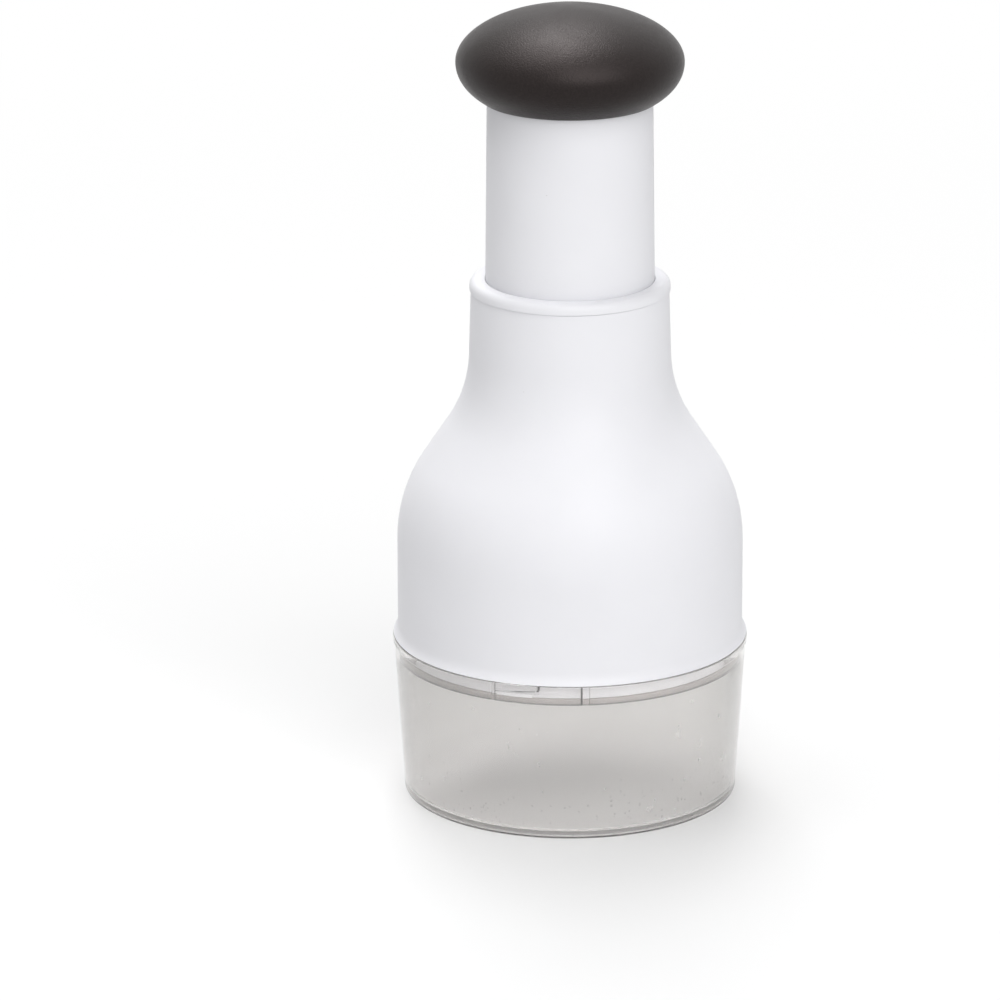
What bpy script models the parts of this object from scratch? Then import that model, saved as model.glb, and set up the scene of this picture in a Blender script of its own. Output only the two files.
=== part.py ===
"""Hand press food chopper, built as an assembly of separate pieces.

A knob pushes a white tube down through the neck of a bell-shaped housing. The tube carries a shaft
with spiral ribs, a nut in the housing makes the shaft turn as it goes, and the zigzag blade under it
comes down through a slotted wiper disc into a clear cup. A spring brings everything up again, and a
short twist frees the cup.

Lengths are in metres, +Z is up, and the origin is the centre of the cup's base.
"""
import math

import bmesh
import bpy

MM = 0.001

# Fits shared by all pieces
SEAT_GAP = 0.3 * MM         # between pieces that rest on each other or are fixed to each other
RUNNING_GAP = 0.3 * MM      # between pieces that slide or turn on each other
OVERRUN = 1.0 * MM          # how far a cutter passes the face that it cuts
BITE = 0.4 * MM             # how far a joined shape reaches into the wall that carries it
MERGE = 0.01 * MM           # points nearer than this become one
LARGE_ROUND_STEPS = 36      # sides of the large turned pieces
MIDDLE_ROUND_STEPS = 28     # sides of the knob, the plunger and the neck
SMALL_ROUND_STEPS = 20      # sides of the tubes and bushes inside
FINE_ROUND_STEPS = 12       # sides of screws and their bores
EDGE_STEPS = 2              # steps in the rounding of an edge
CREASE_ANGLE = math.radians(32)

# Cup
CUP_HEIGHT = 46.9 * MM
CUP_WALL_R = 51.05 * MM     # outer radius just under the rim's bead
CUP_TAPER = math.radians(3.75)
CUP_BEAD_OUT = 0.25 * MM
CUP_BEAD_HEIGHT = 2.3 * MM
CUP_RIM_ROUND = 0.35 * MM
CUP_WALL = 2.3 * MM         # at the floor; it thickens towards the ledge
CUP_FLOOR = 1.8 * MM
CUP_FOOT_HEIGHT = 0.8 * MM
CUP_FOOT_WIDTH = 3.2 * MM
CUP_EDGE_ROUND = 1.5 * MM
CUP_INNER_ROUND = 3.0 * MM
BAND_WALL = 1.65 * MM       # wall of the clear band above the ledge
LEDGE_DROP = 5.5 * MM       # ledge below the rim
LEDGE_WIDTH = 2.2 * MM

# Twist lock between the cup and the housing, angles seen from the front
LOCK_COUNT = 3
LOCK_START = math.radians(-25.4)
CUP_LUG_SPAN = math.radians(15.1)
CUP_LUG_DEPTH = 0.45 * MM
CUP_LUG_TOP_DROP = 0.5 * MM
CUP_LUG_DROP = 2.8 * MM     # lug's underside below the rim at the closed end
CUP_LUG_RISE = 0.9 * MM     # how much higher the underside is at the entry
LOCK_STEP = 0.05 * MM       # how far a stop stands out beyond the lug
ENTRY_SPAN = math.radians(14.1)
FAR_STOP_SPAN = math.radians(2.6)
NEAR_STOP_SPAN = math.radians(1.1)
LOCK_PLAY = math.radians(0.45)
COLLAR_LUG_SPAN = math.radians(12.3)
LOCK_SPACE = 1.4 * MM       # from the collar's skirt to the cup's band

# Seal and base collar
SEAL_THICKNESS = 0.8 * MM
SEAL_WIDTH = 1.2 * MM
SKIRT_WALL = 1.5 * MM
COLLAR_LIP_WIDTH = 1.7 * MM
COLLAR_LIP_HEIGHT = 1.2 * MM
COLLAR_INSERT = 6.5 * MM    # how far the collar's sleeve goes up into the housing
HOOK_COUNT = 4
HOOK_SPAN = math.radians(16)
HOOK_DEPTH = 0.9 * MM
HOOK_HEIGHT = 1.3 * MM

# Wiper disc
WIPER_THICKNESS = 1.8 * MM
WIPER_LIP_HEIGHT = 3.9 * MM
WIPER_LIP_WALL = 1.0 * MM
WIPER_SLOT_PLAY = 0.4 * MM

# Blade
BLADE_THICKNESS = 0.5 * MM
BLADE_EDGE_THICKNESS = 0.12 * MM
BLADE_BEVEL_HEIGHT = 1.3 * MM
BLADE_BEND_R = 2.2 * MM
BLADE_BENDS = 5
BLADE_END_SHARE = 1.4       # free ends, in spaces between bends
BLADE_END_INSET = 1.4 * MM  # free ends, inside the circle of the bends
BLADE_REST_HEIGHT = 1.1 * MM    # edge above the wiper's plate when the knob is up
BLADE_FLOOR_GAP = 0.6 * MM      # edge above the cup's floor when the knob is down
BEND_STEPS = 6

# Blade hub
HUB_RIB_HEIGHT = 2.0 * MM
HUB_RIB_WALL = 1.05 * MM
HUB_THICKNESS = 2.5 * MM
HUB_ROOF = 0.6 * MM         # left over the blade's slot
HUB_PRESS_GAP = 0.5 * MM    # hub's rib above the wiper's lips when the knob is down
HUB_SIDE_GAP = 1.3 * MM
HUB_RIM = 2.0 * MM          # hub beyond the blade
HUB_BOSS_R = 8.0 * MM

# Housing
FLARE_OUT = 1.3 * MM
FLARE_HEIGHT = 3.4 * MM
FLARE_INSET = 0.1 * MM      # flare's edge inside the cup's rim
HOUSING_WALL = 2.0 * MM
SHOULDER_ARC = 43.8 * MM
SLOPE_LENGTH = 12.8 * MM    # straight stretch between shoulder and waist
WAIST_ARC = 39.3 * MM
NECK_DRAFT = 0.55 * MM      # how much the neck narrows on its way up
NECK_LIP_WALL = 1.5 * MM    # wall around the neck ring's skirt
STEP_WIDTH = 1.1 * MM       # inner rib that the collar's sleeve stops against
STEP_HEIGHT = 1.4 * MM
FLARE_STEPS = 4
OUTER_ARC_STEPS = 5
INNER_ARC_STEPS = 3

# Guide tower
BULKHEAD_GAP = 0.6 * MM     # above the hub
BULKHEAD_THICKNESS = 2.4 * MM
BULKHEAD_BORE_PLAY = 1.0 * MM
TOWER_BORE_R = 14.4 * MM
TOWER_WALL = 1.6 * MM
TOWER_TOP_GAP = 3.0 * MM    # under the plunger's top when the knob is down
TOWER_BEAD = 0.5 * MM       # bead that holds the nut down
TOWER_RIB_COUNT = 6
TOWER_RIB_WIDTH = 1.2 * MM
TOWER_RIB_HEIGHT = 2.4 * MM
TOWER_RIB_GAP = 0.9 * MM    # from a rib's end to the housing
POST_COUNT = 3
POST_R = 3.4 * MM
POST_INSET = 1.8 * MM       # post inside the bulkhead's edge
POST_SPACE = 2.4 * MM       # post outside the bulkhead's ring of ribs
POST_ANGLE = math.radians(90)

# Spiral nut and shaft
SPIRAL_TURN = math.radians(45)  # turn of the blade over a whole stroke
NUT_FLANGE_HEIGHT = 3.0 * MM
NUT_HEIGHT = 10.0 * MM
NUT_WALL = 2.9 * MM
NUT_KEY_COUNT = 2
NUT_KEY_WIDTH = 2.4 * MM
NUT_KEY_DEPTH = 1.1 * MM
SHAFT_CORE_R = 5.0 * MM
SHAFT_RIB_OUT = 2.0 * MM
SHAFT_RIB_WIDTH = 2.4 * MM
SHAFT_RIB_COUNT = 3
SHAFT_RIB_SPARE = 1.7 * MM  # rib above the nut when the knob is down
SHAFT_LEVELS = 14
CORE_ARC_STEPS = 4
SHAFT_STEM_OUT = 1.0 * MM   # round stem above the ribs, beyond the core
SHAFT_FOOT_INSET = 0.8 * MM     # corners of the six-sided end in the hub, inside the core
JOURNAL_R = 3.3 * MM
WASHER_R = 6.5 * MM
WASHER_THICKNESS = 1.0 * MM

# Plunger and neck ring
SPRING_PLAY = 1.3 * MM      # on each side of the spring's wire, at the top
SLEEVE_DRAFT = 0.65 * MM    # how much the tube narrows on its way up
SLEEVE_WALL = 1.6 * MM
FLANGE_OUT = 1.15 * MM
FLANGE_HEIGHT = 2.5 * MM
PLATE_THICKNESS = 2.4 * MM
GUIDE_WALL = 1.5 * MM
PRESS_GAP = 1.35 * MM       # plunger above the bulkhead when the knob is down
RING_PLAY = 0.45 * MM       # around the tube
RING_HEIGHT = 3.0 * MM
RING_PROUD = 0.4 * MM       # ring beyond the neck
RING_SKIRT_WALL = 0.9 * MM
RING_SKIRT_DEPTH = 3.8 * MM
RING_TOP_ROUND = 2.0 * MM
RING_HOLE_ROUND = 0.8 * MM
RING_EDGE_ROUND = 0.5 * MM

# Knob
KNOB_OVERHANG = 8.9 * MM    # beyond the tube
KNOB_CROWN = 15.5 * MM      # from the widest level to the top
KNOB_DROP = 11.0 * MM       # from the widest level to the underside
KNOB_FOOT_WIDTH = 1.15 * MM     # flat of the underside, beside the tube
CROWN_POWER = 1.95
BELLY_POWER = 2.1
KNOB_PRESS_GAP = 8.75 * MM  # underside above the neck ring when the knob is down
GRIP_THICKNESS = 1.8 * MM
GRIP_LIP_HEIGHT = 2.7 * MM
SLEEVE_ENTRY = 3.5 * MM     # how far the tube goes up into the knob
CORE_WALL = 2.4 * MM
CORE_TUBE_WALL = 1.6 * MM
CORE_BOSS_R = 3.6 * MM
CORE_RIB_COUNT = 6
CORE_RIB_WIDTH = 1.4 * MM
CORE_RECESS_GAP = 5.6 * MM  # head room over the shaft's screw
CORE_RIM = 1.9 * MM         # from the edge of the core's seat in to its hollow
KNOB_STEPS = 7
HIDDEN_KNOB_STEPS = 4

# Screws
SCREW_R = 1.4 * MM
SCREW_HEAD_R = 2.6 * MM
SCREW_HEAD_HEIGHT = 1.6 * MM
SCREW_TIP = 1.0 * MM
KNOB_SCREW_REACH = 9.0 * MM     # into the core
TOWER_SCREW_REACH = 7.0 * MM    # into the post
AXIS_SCREW_REACH = 9.0 * MM     # into the shaft
SCREW_HEAD_RISE = 0.5 * MM      # how deep a countersunk head lies in the bulkhead
BORE_SPARE = 1.2 * MM           # bore beyond a screw's tip

# Spring
WIRE = 1.6 * MM
SPRING_TURNS = 10
SPRING_END_PITCH = 2.2 * MM     # rise over each closed end turn
TURN_POINTS = 10

# Worked out from the sizes above
CUP_RIM_R = CUP_WALL_R + CUP_BEAD_OUT
CUP_BASE_R = CUP_WALL_R - math.tan(CUP_TAPER) * (CUP_HEIGHT - CUP_BEAD_HEIGHT)
CUP_FLOOR_Z = CUP_FOOT_HEIGHT + CUP_FLOOR
LEDGE_Z = CUP_HEIGHT - LEDGE_DROP
BAND_R = CUP_WALL_R - BAND_WALL
STOP_R = BAND_R - CUP_LUG_DEPTH - LOCK_STEP
SEAL_R = STOP_R - SEAT_GAP
SEAL_Z = LEDGE_Z + SEAT_GAP
COLLAR_Z = SEAL_Z + SEAL_THICKNESS + SEAT_GAP
SKIRT_R = BAND_R - LOCK_SPACE
COLLAR_BORE_R = SKIRT_R - SKIRT_WALL
WIPER_Z = COLLAR_Z + COLLAR_LIP_HEIGHT + RUNNING_GAP
WIPER_TOP_Z = WIPER_Z + WIPER_THICKNESS
WIPER_R = COLLAR_BORE_R - RUNNING_GAP
WIPER_LIP_Z = WIPER_TOP_Z + WIPER_LIP_HEIGHT
WIPER_SLOT = BLADE_THICKNESS / 2 + WIPER_SLOT_PLAY
BLADE_Z = WIPER_TOP_Z + BLADE_REST_HEIGHT
STROKE = BLADE_Z - BLADE_FLOOR_GAP - CUP_FLOOR_Z
TWIST_RATE = SPIRAL_TURN / STROKE

HUB_Z = WIPER_LIP_Z + HUB_PRESS_GAP + STROKE
HUB_PLATE_Z = HUB_Z + HUB_RIB_HEIGHT
HUB_TOP_Z = HUB_PLATE_Z + HUB_THICKNESS
BLADE_TOP_Z = HUB_TOP_Z - HUB_ROOF - SEAT_GAP
BULKHEAD_Z = HUB_TOP_Z + BULKHEAD_GAP
BULKHEAD_TOP_Z = BULKHEAD_Z + BULKHEAD_THICKNESS
BULKHEAD_BORE_R = HUB_BOSS_R + BULKHEAD_BORE_PLAY

TOWER_R = TOWER_BORE_R + TOWER_WALL
GUIDE_BORE_R = TOWER_R + RUNNING_GAP
GUIDE_R = GUIDE_BORE_R + GUIDE_WALL
SLEEVE_END_R = GUIDE_R + WIRE + 2 * SPRING_PLAY
SLEEVE_TOP_R = SLEEVE_END_R + SLEEVE_WALL
SLEEVE_R = SLEEVE_TOP_R + SLEEVE_DRAFT
FLANGE_R = SLEEVE_R + FLANGE_OUT
RING_SKIRT_IN_R = FLANGE_R + RUNNING_GAP
RING_SKIRT_R = RING_SKIRT_IN_R + RING_SKIRT_WALL
NECK_SOCKET_R = RING_SKIRT_R + SEAT_GAP
NECK_TOP_R = NECK_SOCKET_R + NECK_LIP_WALL
NECK_R = NECK_TOP_R + NECK_DRAFT
RING_R = NECK_TOP_R + RING_PROUD
RING_HOLE_R = SLEEVE_R + RING_PLAY

SLEEVE_Z = BULKHEAD_TOP_Z + PRESS_GAP + STROKE
FLANGE_TOP_Z = SLEEVE_Z + FLANGE_HEIGHT
RING_Z = FLANGE_TOP_Z + SEAT_GAP
RING_TOP_Z = RING_Z + RING_HEIGHT
NECK_TOP_Z = RING_Z - SEAT_GAP
HOUSING_Z = CUP_HEIGHT + SEAT_GAP
HOUSING_R = CUP_RIM_R - FLARE_INSET - FLARE_OUT
BELL_ARCS = SHOULDER_ARC + WAIST_ARC
SLOPE_ANGLE = (math.acos((BELL_ARCS - HOUSING_R + NECK_R) / math.hypot(BELL_ARCS, SLOPE_LENGTH))
               - math.atan2(SLOPE_LENGTH, BELL_ARCS))
COLLAR_TOP_Z = HOUSING_Z + COLLAR_INSERT
STEP_Z = COLLAR_TOP_Z + SEAT_GAP

KNOB_Z = RING_TOP_Z + STROKE + KNOB_PRESS_GAP
KNOB_WIDEST_Z = KNOB_Z + KNOB_DROP
KNOB_R = SLEEVE_TOP_R + KNOB_OVERHANG
GRIP_BORE_R = SLEEVE_TOP_R + RING_PLAY
KNOB_CUT_SHARE = 1 - ((GRIP_BORE_R + KNOB_FOOT_WIDTH) / KNOB_R) ** BELLY_POWER
KNOB_BELLY = KNOB_DROP / KNOB_CUT_SHARE ** (1 / BELLY_POWER)
PLATE_TOP_Z = KNOB_Z + SLEEVE_ENTRY
PLATE_Z = PLATE_TOP_Z - PLATE_THICKNESS
RIBS_IN_R = FLANGE_R + RUNNING_GAP + SEAT_GAP
RIBS_R = RIBS_IN_R + TOWER_RIB_WIDTH
POST_CIRCLE = RIBS_R + POST_SPACE + POST_R
BULKHEAD_R = POST_CIRCLE + POST_R + POST_INSET
TOWER_TOP_Z = PLATE_Z - STROKE - TOWER_TOP_GAP
SPRING_R = (GUIDE_R + SLEEVE_END_R) / 2
NUT_Z = BULKHEAD_TOP_Z + SEAT_GAP
NUT_TOP_Z = NUT_Z + NUT_HEIGHT
NUT_R = TOWER_BORE_R - SEAT_GAP
SHAFT_RIB_R = SHAFT_CORE_R + SHAFT_RIB_OUT
SHAFT_STEM_R = SHAFT_CORE_R + SHAFT_STEM_OUT
SHAFT_SOCKET_R = SHAFT_CORE_R - SHAFT_FOOT_INSET
SHAFT_RIBS_TOP_Z = NUT_TOP_Z + STROKE + SHAFT_RIB_SPARE
SHAFT_SHOULDER_Z = PLATE_Z - RUNNING_GAP
WASHER_Z = PLATE_TOP_Z + RUNNING_GAP
JOURNAL_TOP_Z = WASHER_Z - RUNNING_GAP / 2
SHAFT_SOCKET_Z = HUB_PLATE_Z + SEAT_GAP
SCREW_BORE_R = SCREW_R + SEAT_GAP
KNOB_SCREW_CIRCLE = (TOWER_BORE_R + SHAFT_STEM_R) / 2
LOCK_TURN = CUP_LUG_SPAN + ENTRY_SPAN - COLLAR_LUG_SPAN - 2 * LOCK_PLAY


def remove_everything():
    """Empty the file, without closing it."""
    for thing in list(bpy.data.objects):
        bpy.data.objects.remove(thing, do_unlink=True)


def new_collection(name):
    made = bpy.data.collections.new(name)
    bpy.context.scene.collection.children.link(made)
    return made


def finish(name, colour, roughness, metallic=0.0, alpha=1.0):
    """A material with one Principled shader."""
    made = bpy.data.materials.new(name)
    made.use_nodes = True
    shader = made.node_tree.nodes["Principled BSDF"]
    shader.inputs["Base Color"].default_value = (*colour, 1.0)
    shader.inputs["Roughness"].default_value = roughness
    shader.inputs["Metallic"].default_value = metallic
    shader.inputs["Alpha"].default_value = alpha
    made.diffuse_color = (*colour, alpha)
    return made


def place(name, mesh, looks=None):
    """Put a mesh in the scene: a piece with its material, or a guide that only cuts and joins."""
    thing = bpy.data.objects.new(name, mesh)
    if looks is None:
        guides.objects.link(thing)
        thing.hide_render = True
        thing.display_type = "WIRE"
    else:
        parts.objects.link(thing)
        mesh.materials.append(looks)
    return thing


def evaluated_mesh(thing):
    """The object's mesh with its modifiers or its curve worked out, and its loose caps joined."""
    bpy.context.view_layer.update()
    seen = thing.evaluated_get(bpy.context.evaluated_depsgraph_get())
    mesh = bpy.data.meshes.new_from_object(seen)
    shape = bmesh.new()
    shape.from_mesh(mesh)
    bmesh.ops.remove_doubles(shape, verts=shape.verts, dist=MERGE)
    bmesh.ops.recalc_face_normals(shape, faces=shape.faces)
    shape.to_mesh(mesh)
    shape.free()
    return mesh


def shade_round(mesh):
    mesh.shade_smooth()
    mesh.set_sharp_from_angle(angle=CREASE_ANGLE)


def rounded(corners):
    """Points of an outline whose corners are (radius from the axis, height, rounding)."""
    points = []
    for index, (across, up, rounding) in enumerate(corners):
        if not rounding:
            points.append((across, up))
            continue
        before = corners[index - 1]
        after = corners[(index + 1) % len(corners)]
        back = math.atan2(before[1] - up, before[0] - across)
        ahead = math.atan2(after[1] - up, after[0] - across)
        opening = (ahead - back + math.pi) % (2 * math.pi) - math.pi
        half = abs(opening) / 2
        middle = back + opening / 2
        centre_across = across + rounding / math.sin(half) * math.cos(middle)
        centre_up = up + rounding / math.sin(half) * math.sin(middle)
        sweep = (math.pi - abs(opening)) * math.copysign(1, opening)
        first = middle + math.pi + sweep / 2
        for step in range(EDGE_STEPS + 1):
            angle = first - sweep * step / EDGE_STEPS
            points.append((centre_across + rounding * math.cos(angle),
                           centre_up + rounding * math.sin(angle)))
    return points


def signed_area(points):
    total = 0
    for (x0, y0), (x1, y1) in zip(points, points[1:] + points[:1]):
        total += x0 * y1 - x1 * y0
    return total / 2


def turned(name, points, steps, looks=None):
    """Turn an outline about the axis. It may be closed, or start and end on the axis."""
    if signed_area(points) > 0:
        points = points[::-1]
    on_axis = [index for index, point in enumerate(points) if point[0] == 0]
    edges = [(index, (index + 1) % len(points)) for index in range(len(points))]
    if on_axis:
        edges = [edge for edge in edges if not set(edge) <= set(on_axis)]
    outline = bpy.data.meshes.new(name + "_outline")
    outline.from_pydata([(across, 0, up) for across, up in points], edges, [])
    guide = place(name + "_outline", outline)
    screw = guide.modifiers.new("Turn", "SCREW")
    screw.angle = 2 * math.pi
    screw.steps = steps
    screw.render_steps = steps
    screw.use_merge_vertices = True
    screw.merge_threshold = MERGE
    mesh = evaluated_mesh(guide)
    bpy.data.objects.remove(guide, do_unlink=True)
    shade_round(mesh)
    return place(name, mesh, looks)


def cylinder(name, radius, low, high, x=0, y=0, steps=FINE_ROUND_STEPS, looks=None):
    """An upright cylinder between two heights."""
    shape = bmesh.new()
    bmesh.ops.create_cone(shape, cap_ends=True, segments=steps, radius1=radius, radius2=radius,
                          depth=high - low)
    mesh = bpy.data.meshes.new(name)
    shape.to_mesh(mesh)
    shape.free()
    shade_round(mesh)
    thing = place(name, mesh, looks)
    thing.location = (x, y, (low + high) / 2)
    return thing


def box(name, low_corner, high_corner, angle=0):
    """A box between two corners, turned about the axis."""
    shape = bmesh.new()
    bmesh.ops.create_cube(shape, size=1)
    size = [high - low for low, high in zip(low_corner, high_corner)]
    middle = [(high + low) / 2 for low, high in zip(low_corner, high_corner)]
    bmesh.ops.scale(shape, vec=size, verts=shape.verts)
    bmesh.ops.translate(shape, vec=middle, verts=shape.verts)
    mesh = bpy.data.meshes.new(name)
    shape.to_mesh(mesh)
    shape.free()
    thing = place(name, mesh)
    thing.rotation_euler.z = angle
    return thing


def extruded(name, outline, low, high, looks=None):
    """A flat outline, given as points in plan, raised between two heights."""
    curve = bpy.data.curves.new(name + "_outline", "CURVE")
    curve.dimensions = "2D"
    curve.fill_mode = "BOTH"
    curve.extrude = (high - low) / 2
    spline = curve.splines.new("POLY")
    spline.points.add(len(outline) - 1)
    for point, (x, y) in zip(spline.points, outline):
        point.co = (x, y, 0, 1)
    spline.use_cyclic_u = True
    guide = bpy.data.objects.new(name + "_outline", curve)
    guides.objects.link(guide)
    mesh = evaluated_mesh(guide)
    bpy.data.objects.remove(guide, do_unlink=True)
    shade_round(mesh)
    thing = place(name, mesh, looks)
    thing.location.z = (low + high) / 2
    return thing


def sector(inner_r, outer_r, start, span, steps=4):
    """Plan outline of a piece of a ring. Angles run from the front, anticlockwise from above."""
    angles = [start + span * step / steps - math.pi / 2 for step in range(steps + 1)]
    inner = [(inner_r * math.cos(angle), inner_r * math.sin(angle)) for angle in angles]
    outer = [(outer_r * math.cos(angle), outer_r * math.sin(angle)) for angle in angles]
    return inner + outer[::-1]


def combine(target, tool, operation):
    """Join a guide to a piece, or cut it out."""
    change = target.modifiers.new(tool.name, "BOOLEAN")
    change.operation = operation
    change.object = tool
    change.solver = "EXACT"


def around(count, start=0):
    """Evenly spaced angles."""
    return [start + 2 * math.pi * index / count for index in range(count)]


def lock_angles():
    return around(LOCK_COUNT, LOCK_START)


def bell_shape(inset, steps):
    """Shoulder, slope and waist of the housing, moved inwards by the wall, above the shoulder."""
    waist_z = BELL_ARCS * math.sin(SLOPE_ANGLE) + SLOPE_LENGTH * math.cos(SLOPE_ANGLE)
    points = []
    for step in range(steps + 1):
        angle = SLOPE_ANGLE * step / steps
        points.append((HOUSING_R - SHOULDER_ARC + (SHOULDER_ARC - inset) * math.cos(angle),
                       (SHOULDER_ARC - inset) * math.sin(angle)))
    for step in range(steps + 1):
        angle = SLOPE_ANGLE * (1 - step / steps)
        points.append((NECK_R + WAIST_ARC - (WAIST_ARC + inset) * math.cos(angle),
                       waist_z - (WAIST_ARC + inset) * math.sin(angle)))
    return points


def bell_curve(inset, steps=INNER_ARC_STEPS):
    """The bell's outline from the bottom up, at the height where the bulkhead just fits in it."""
    inner = bell_shape(HOUSING_WALL, INNER_ARC_STEPS)[::-1]
    shoulder_z = BULKHEAD_TOP_Z - height_at(inner, BULKHEAD_R + SEAT_GAP)
    return [(across, shoulder_z + up) for across, up in bell_shape(inset, steps)]


def radius_at(points, up):
    """Radius of an outline, listed from the bottom up, at a height."""
    for (low_r, low), (high_r, high) in zip(points, points[1:]):
        if low <= up <= high:
            return low_r + (high_r - low_r) * (up - low) / (high - low)
    return points[0][0]


def height_at(points, across):
    """Height of an outline, listed from the axis outwards, at a radius."""
    return radius_at([(up, radius) for radius, up in points], across)


def hub_r():
    """The hub clears the bell at rest, and the collar's hooks when it goes down."""
    return min(radius_at(bell_curve(HOUSING_WALL), HUB_TOP_Z), COLLAR_BORE_R - HOOK_DEPTH) - HUB_SIDE_GAP


def post_places():
    return [(POST_CIRCLE * math.cos(angle), POST_CIRCLE * math.sin(angle))
            for angle in around(POST_COUNT, POST_ANGLE)]


def knob_screw_places():
    return [(KNOB_SCREW_CIRCLE * math.cos(angle), KNOB_SCREW_CIRCLE * math.sin(angle))
            for angle in around(POST_COUNT, POST_ANGLE)]


def blade_path():
    """Centre line of the zigzag strip in plan: bends on a circle, and tangents between them.

    Each bend has a signed radius: positive turns clockwise, negative anticlockwise, zero is an end.
    """
    circle = hub_r() - HUB_RIM - BLADE_BEND_R
    pitch = 2 * circle / (BLADE_BENDS + BLADE_END_SHARE)
    stops = []
    for index in range(BLADE_BENDS):
        x = (index - (BLADE_BENDS - 1) / 2) * pitch
        side = 1 if index % 2 == 0 else -1
        stops.append((x, side * math.sqrt(circle ** 2 - x ** 2), side * BLADE_BEND_R))
    reach = circle + BLADE_BEND_R - BLADE_END_INSET
    end_x = stops[-1][0] + pitch * BLADE_END_SHARE / 2
    end_y = -math.copysign(math.sqrt(reach ** 2 - end_x ** 2), stops[0][1])
    stops = [(-end_x, end_y, 0)] + stops + [(end_x, end_y, 0)]
    headings = []
    for (x0, y0, turn0), (x1, y1, turn1) in zip(stops, stops[1:]):
        apart = math.hypot(x1 - x0, y1 - y0)
        headings.append(math.atan2(y1 - y0, x1 - x0) - math.asin((turn0 - turn1) / apart))
    path = [(stops[0][0], stops[0][1], headings[0])]
    for (x, y, turn), heading, leaving in zip(stops[1:-1], headings, headings[1:]):
        for step in range(BEND_STEPS + 1):
            angle = heading + (leaving - heading) * step / BEND_STEPS
            path.append((x - turn * math.sin(angle), y + turn * math.cos(angle), angle))
    path.append((stops[-1][0], stops[-1][1], headings[-1]))
    return path


def blade_band(half_width, longer=0):
    """Plan outline of a band along the strip, a little longer than it at both ends."""
    path = blade_path()
    ends = {0: -longer, len(path) - 1: longer}
    left = []
    right = []
    for index, (x, y, heading) in enumerate(path):
        x += ends.get(index, 0) * math.cos(heading)
        y += ends.get(index, 0) * math.sin(heading)
        left.append((x - half_width * math.sin(heading), y + half_width * math.cos(heading)))
        right.append((x + half_width * math.sin(heading), y - half_width * math.cos(heading)))
    return left + right[::-1]


def make_cup():
    inner_bottom_r = CUP_BASE_R - CUP_WALL + math.tan(CUP_TAPER) * CUP_FLOOR_Z
    bead_z = CUP_HEIGHT - CUP_BEAD_HEIGHT
    foot_r = CUP_BASE_R - CUP_EDGE_ROUND - CUP_FOOT_WIDTH
    outline = rounded([
        (0, CUP_FLOOR_Z, 0),
        (inner_bottom_r, CUP_FLOOR_Z, CUP_INNER_ROUND),
        (BAND_R - LEDGE_WIDTH, LEDGE_Z, 0),
        (BAND_R, LEDGE_Z, 0),
        (BAND_R, CUP_HEIGHT, 0),
        (CUP_RIM_R, CUP_HEIGHT, CUP_RIM_ROUND),
        (CUP_RIM_R, bead_z + CUP_BEAD_OUT, 0),
        (CUP_WALL_R, bead_z, 0),
        (CUP_BASE_R, 0, CUP_EDGE_ROUND),
        (foot_r, 0, 0),
        (foot_r - CUP_FOOT_HEIGHT, CUP_FOOT_HEIGHT, 0),
        (0, CUP_FOOT_HEIGHT, 0),
    ])
    cup = turned("cup", outline, LARGE_ROUND_STEPS, CLEAR)
    lug_r = BAND_R - CUP_LUG_DEPTH
    for index, angle in enumerate(lock_angles()):
        root = NEAR_STOP_SPAN / 2
        lug = extruded(f"cup_lug_{index + 1}",
                       sector(lug_r, BAND_R + BITE, angle - root, CUP_LUG_SPAN + root),
                       CUP_HEIGHT - CUP_LUG_DROP, CUP_HEIGHT - CUP_LUG_TOP_DROP)
        for point in lug.data.vertices:
            turn = math.atan2(point.co.y, point.co.x) + math.pi / 2 - angle
            share = ((turn + math.pi) % (2 * math.pi) - math.pi) / CUP_LUG_SPAN
            if point.co.z < 0:
                point.co.z += CUP_LUG_RISE * share
        stops = ((angle - NEAR_STOP_SPAN, NEAR_STOP_SPAN),
                 (angle + CUP_LUG_SPAN + ENTRY_SPAN, FAR_STOP_SPAN))
        for side, (start, span) in enumerate(stops):
            stop = extruded(f"cup_stop_{index + 1}_{side + 1}",
                            sector(STOP_R, BAND_R + 2 * BITE, start, span, 1),
                            LEDGE_Z - BITE, CUP_HEIGHT - CUP_LUG_TOP_DROP / 2)
            combine(cup, stop, "UNION")
        combine(cup, lug, "UNION")
    return [cup]


def make_seal():
    outline = [(SEAL_R, SEAL_Z), (SEAL_R, SEAL_Z + SEAL_THICKNESS),
               (SEAL_R - SEAL_WIDTH, SEAL_Z + SEAL_THICKNESS), (SEAL_R - SEAL_WIDTH, SEAL_Z)]
    return [turned("seal_ring", outline, LARGE_ROUND_STEPS, SILICONE)]


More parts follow.
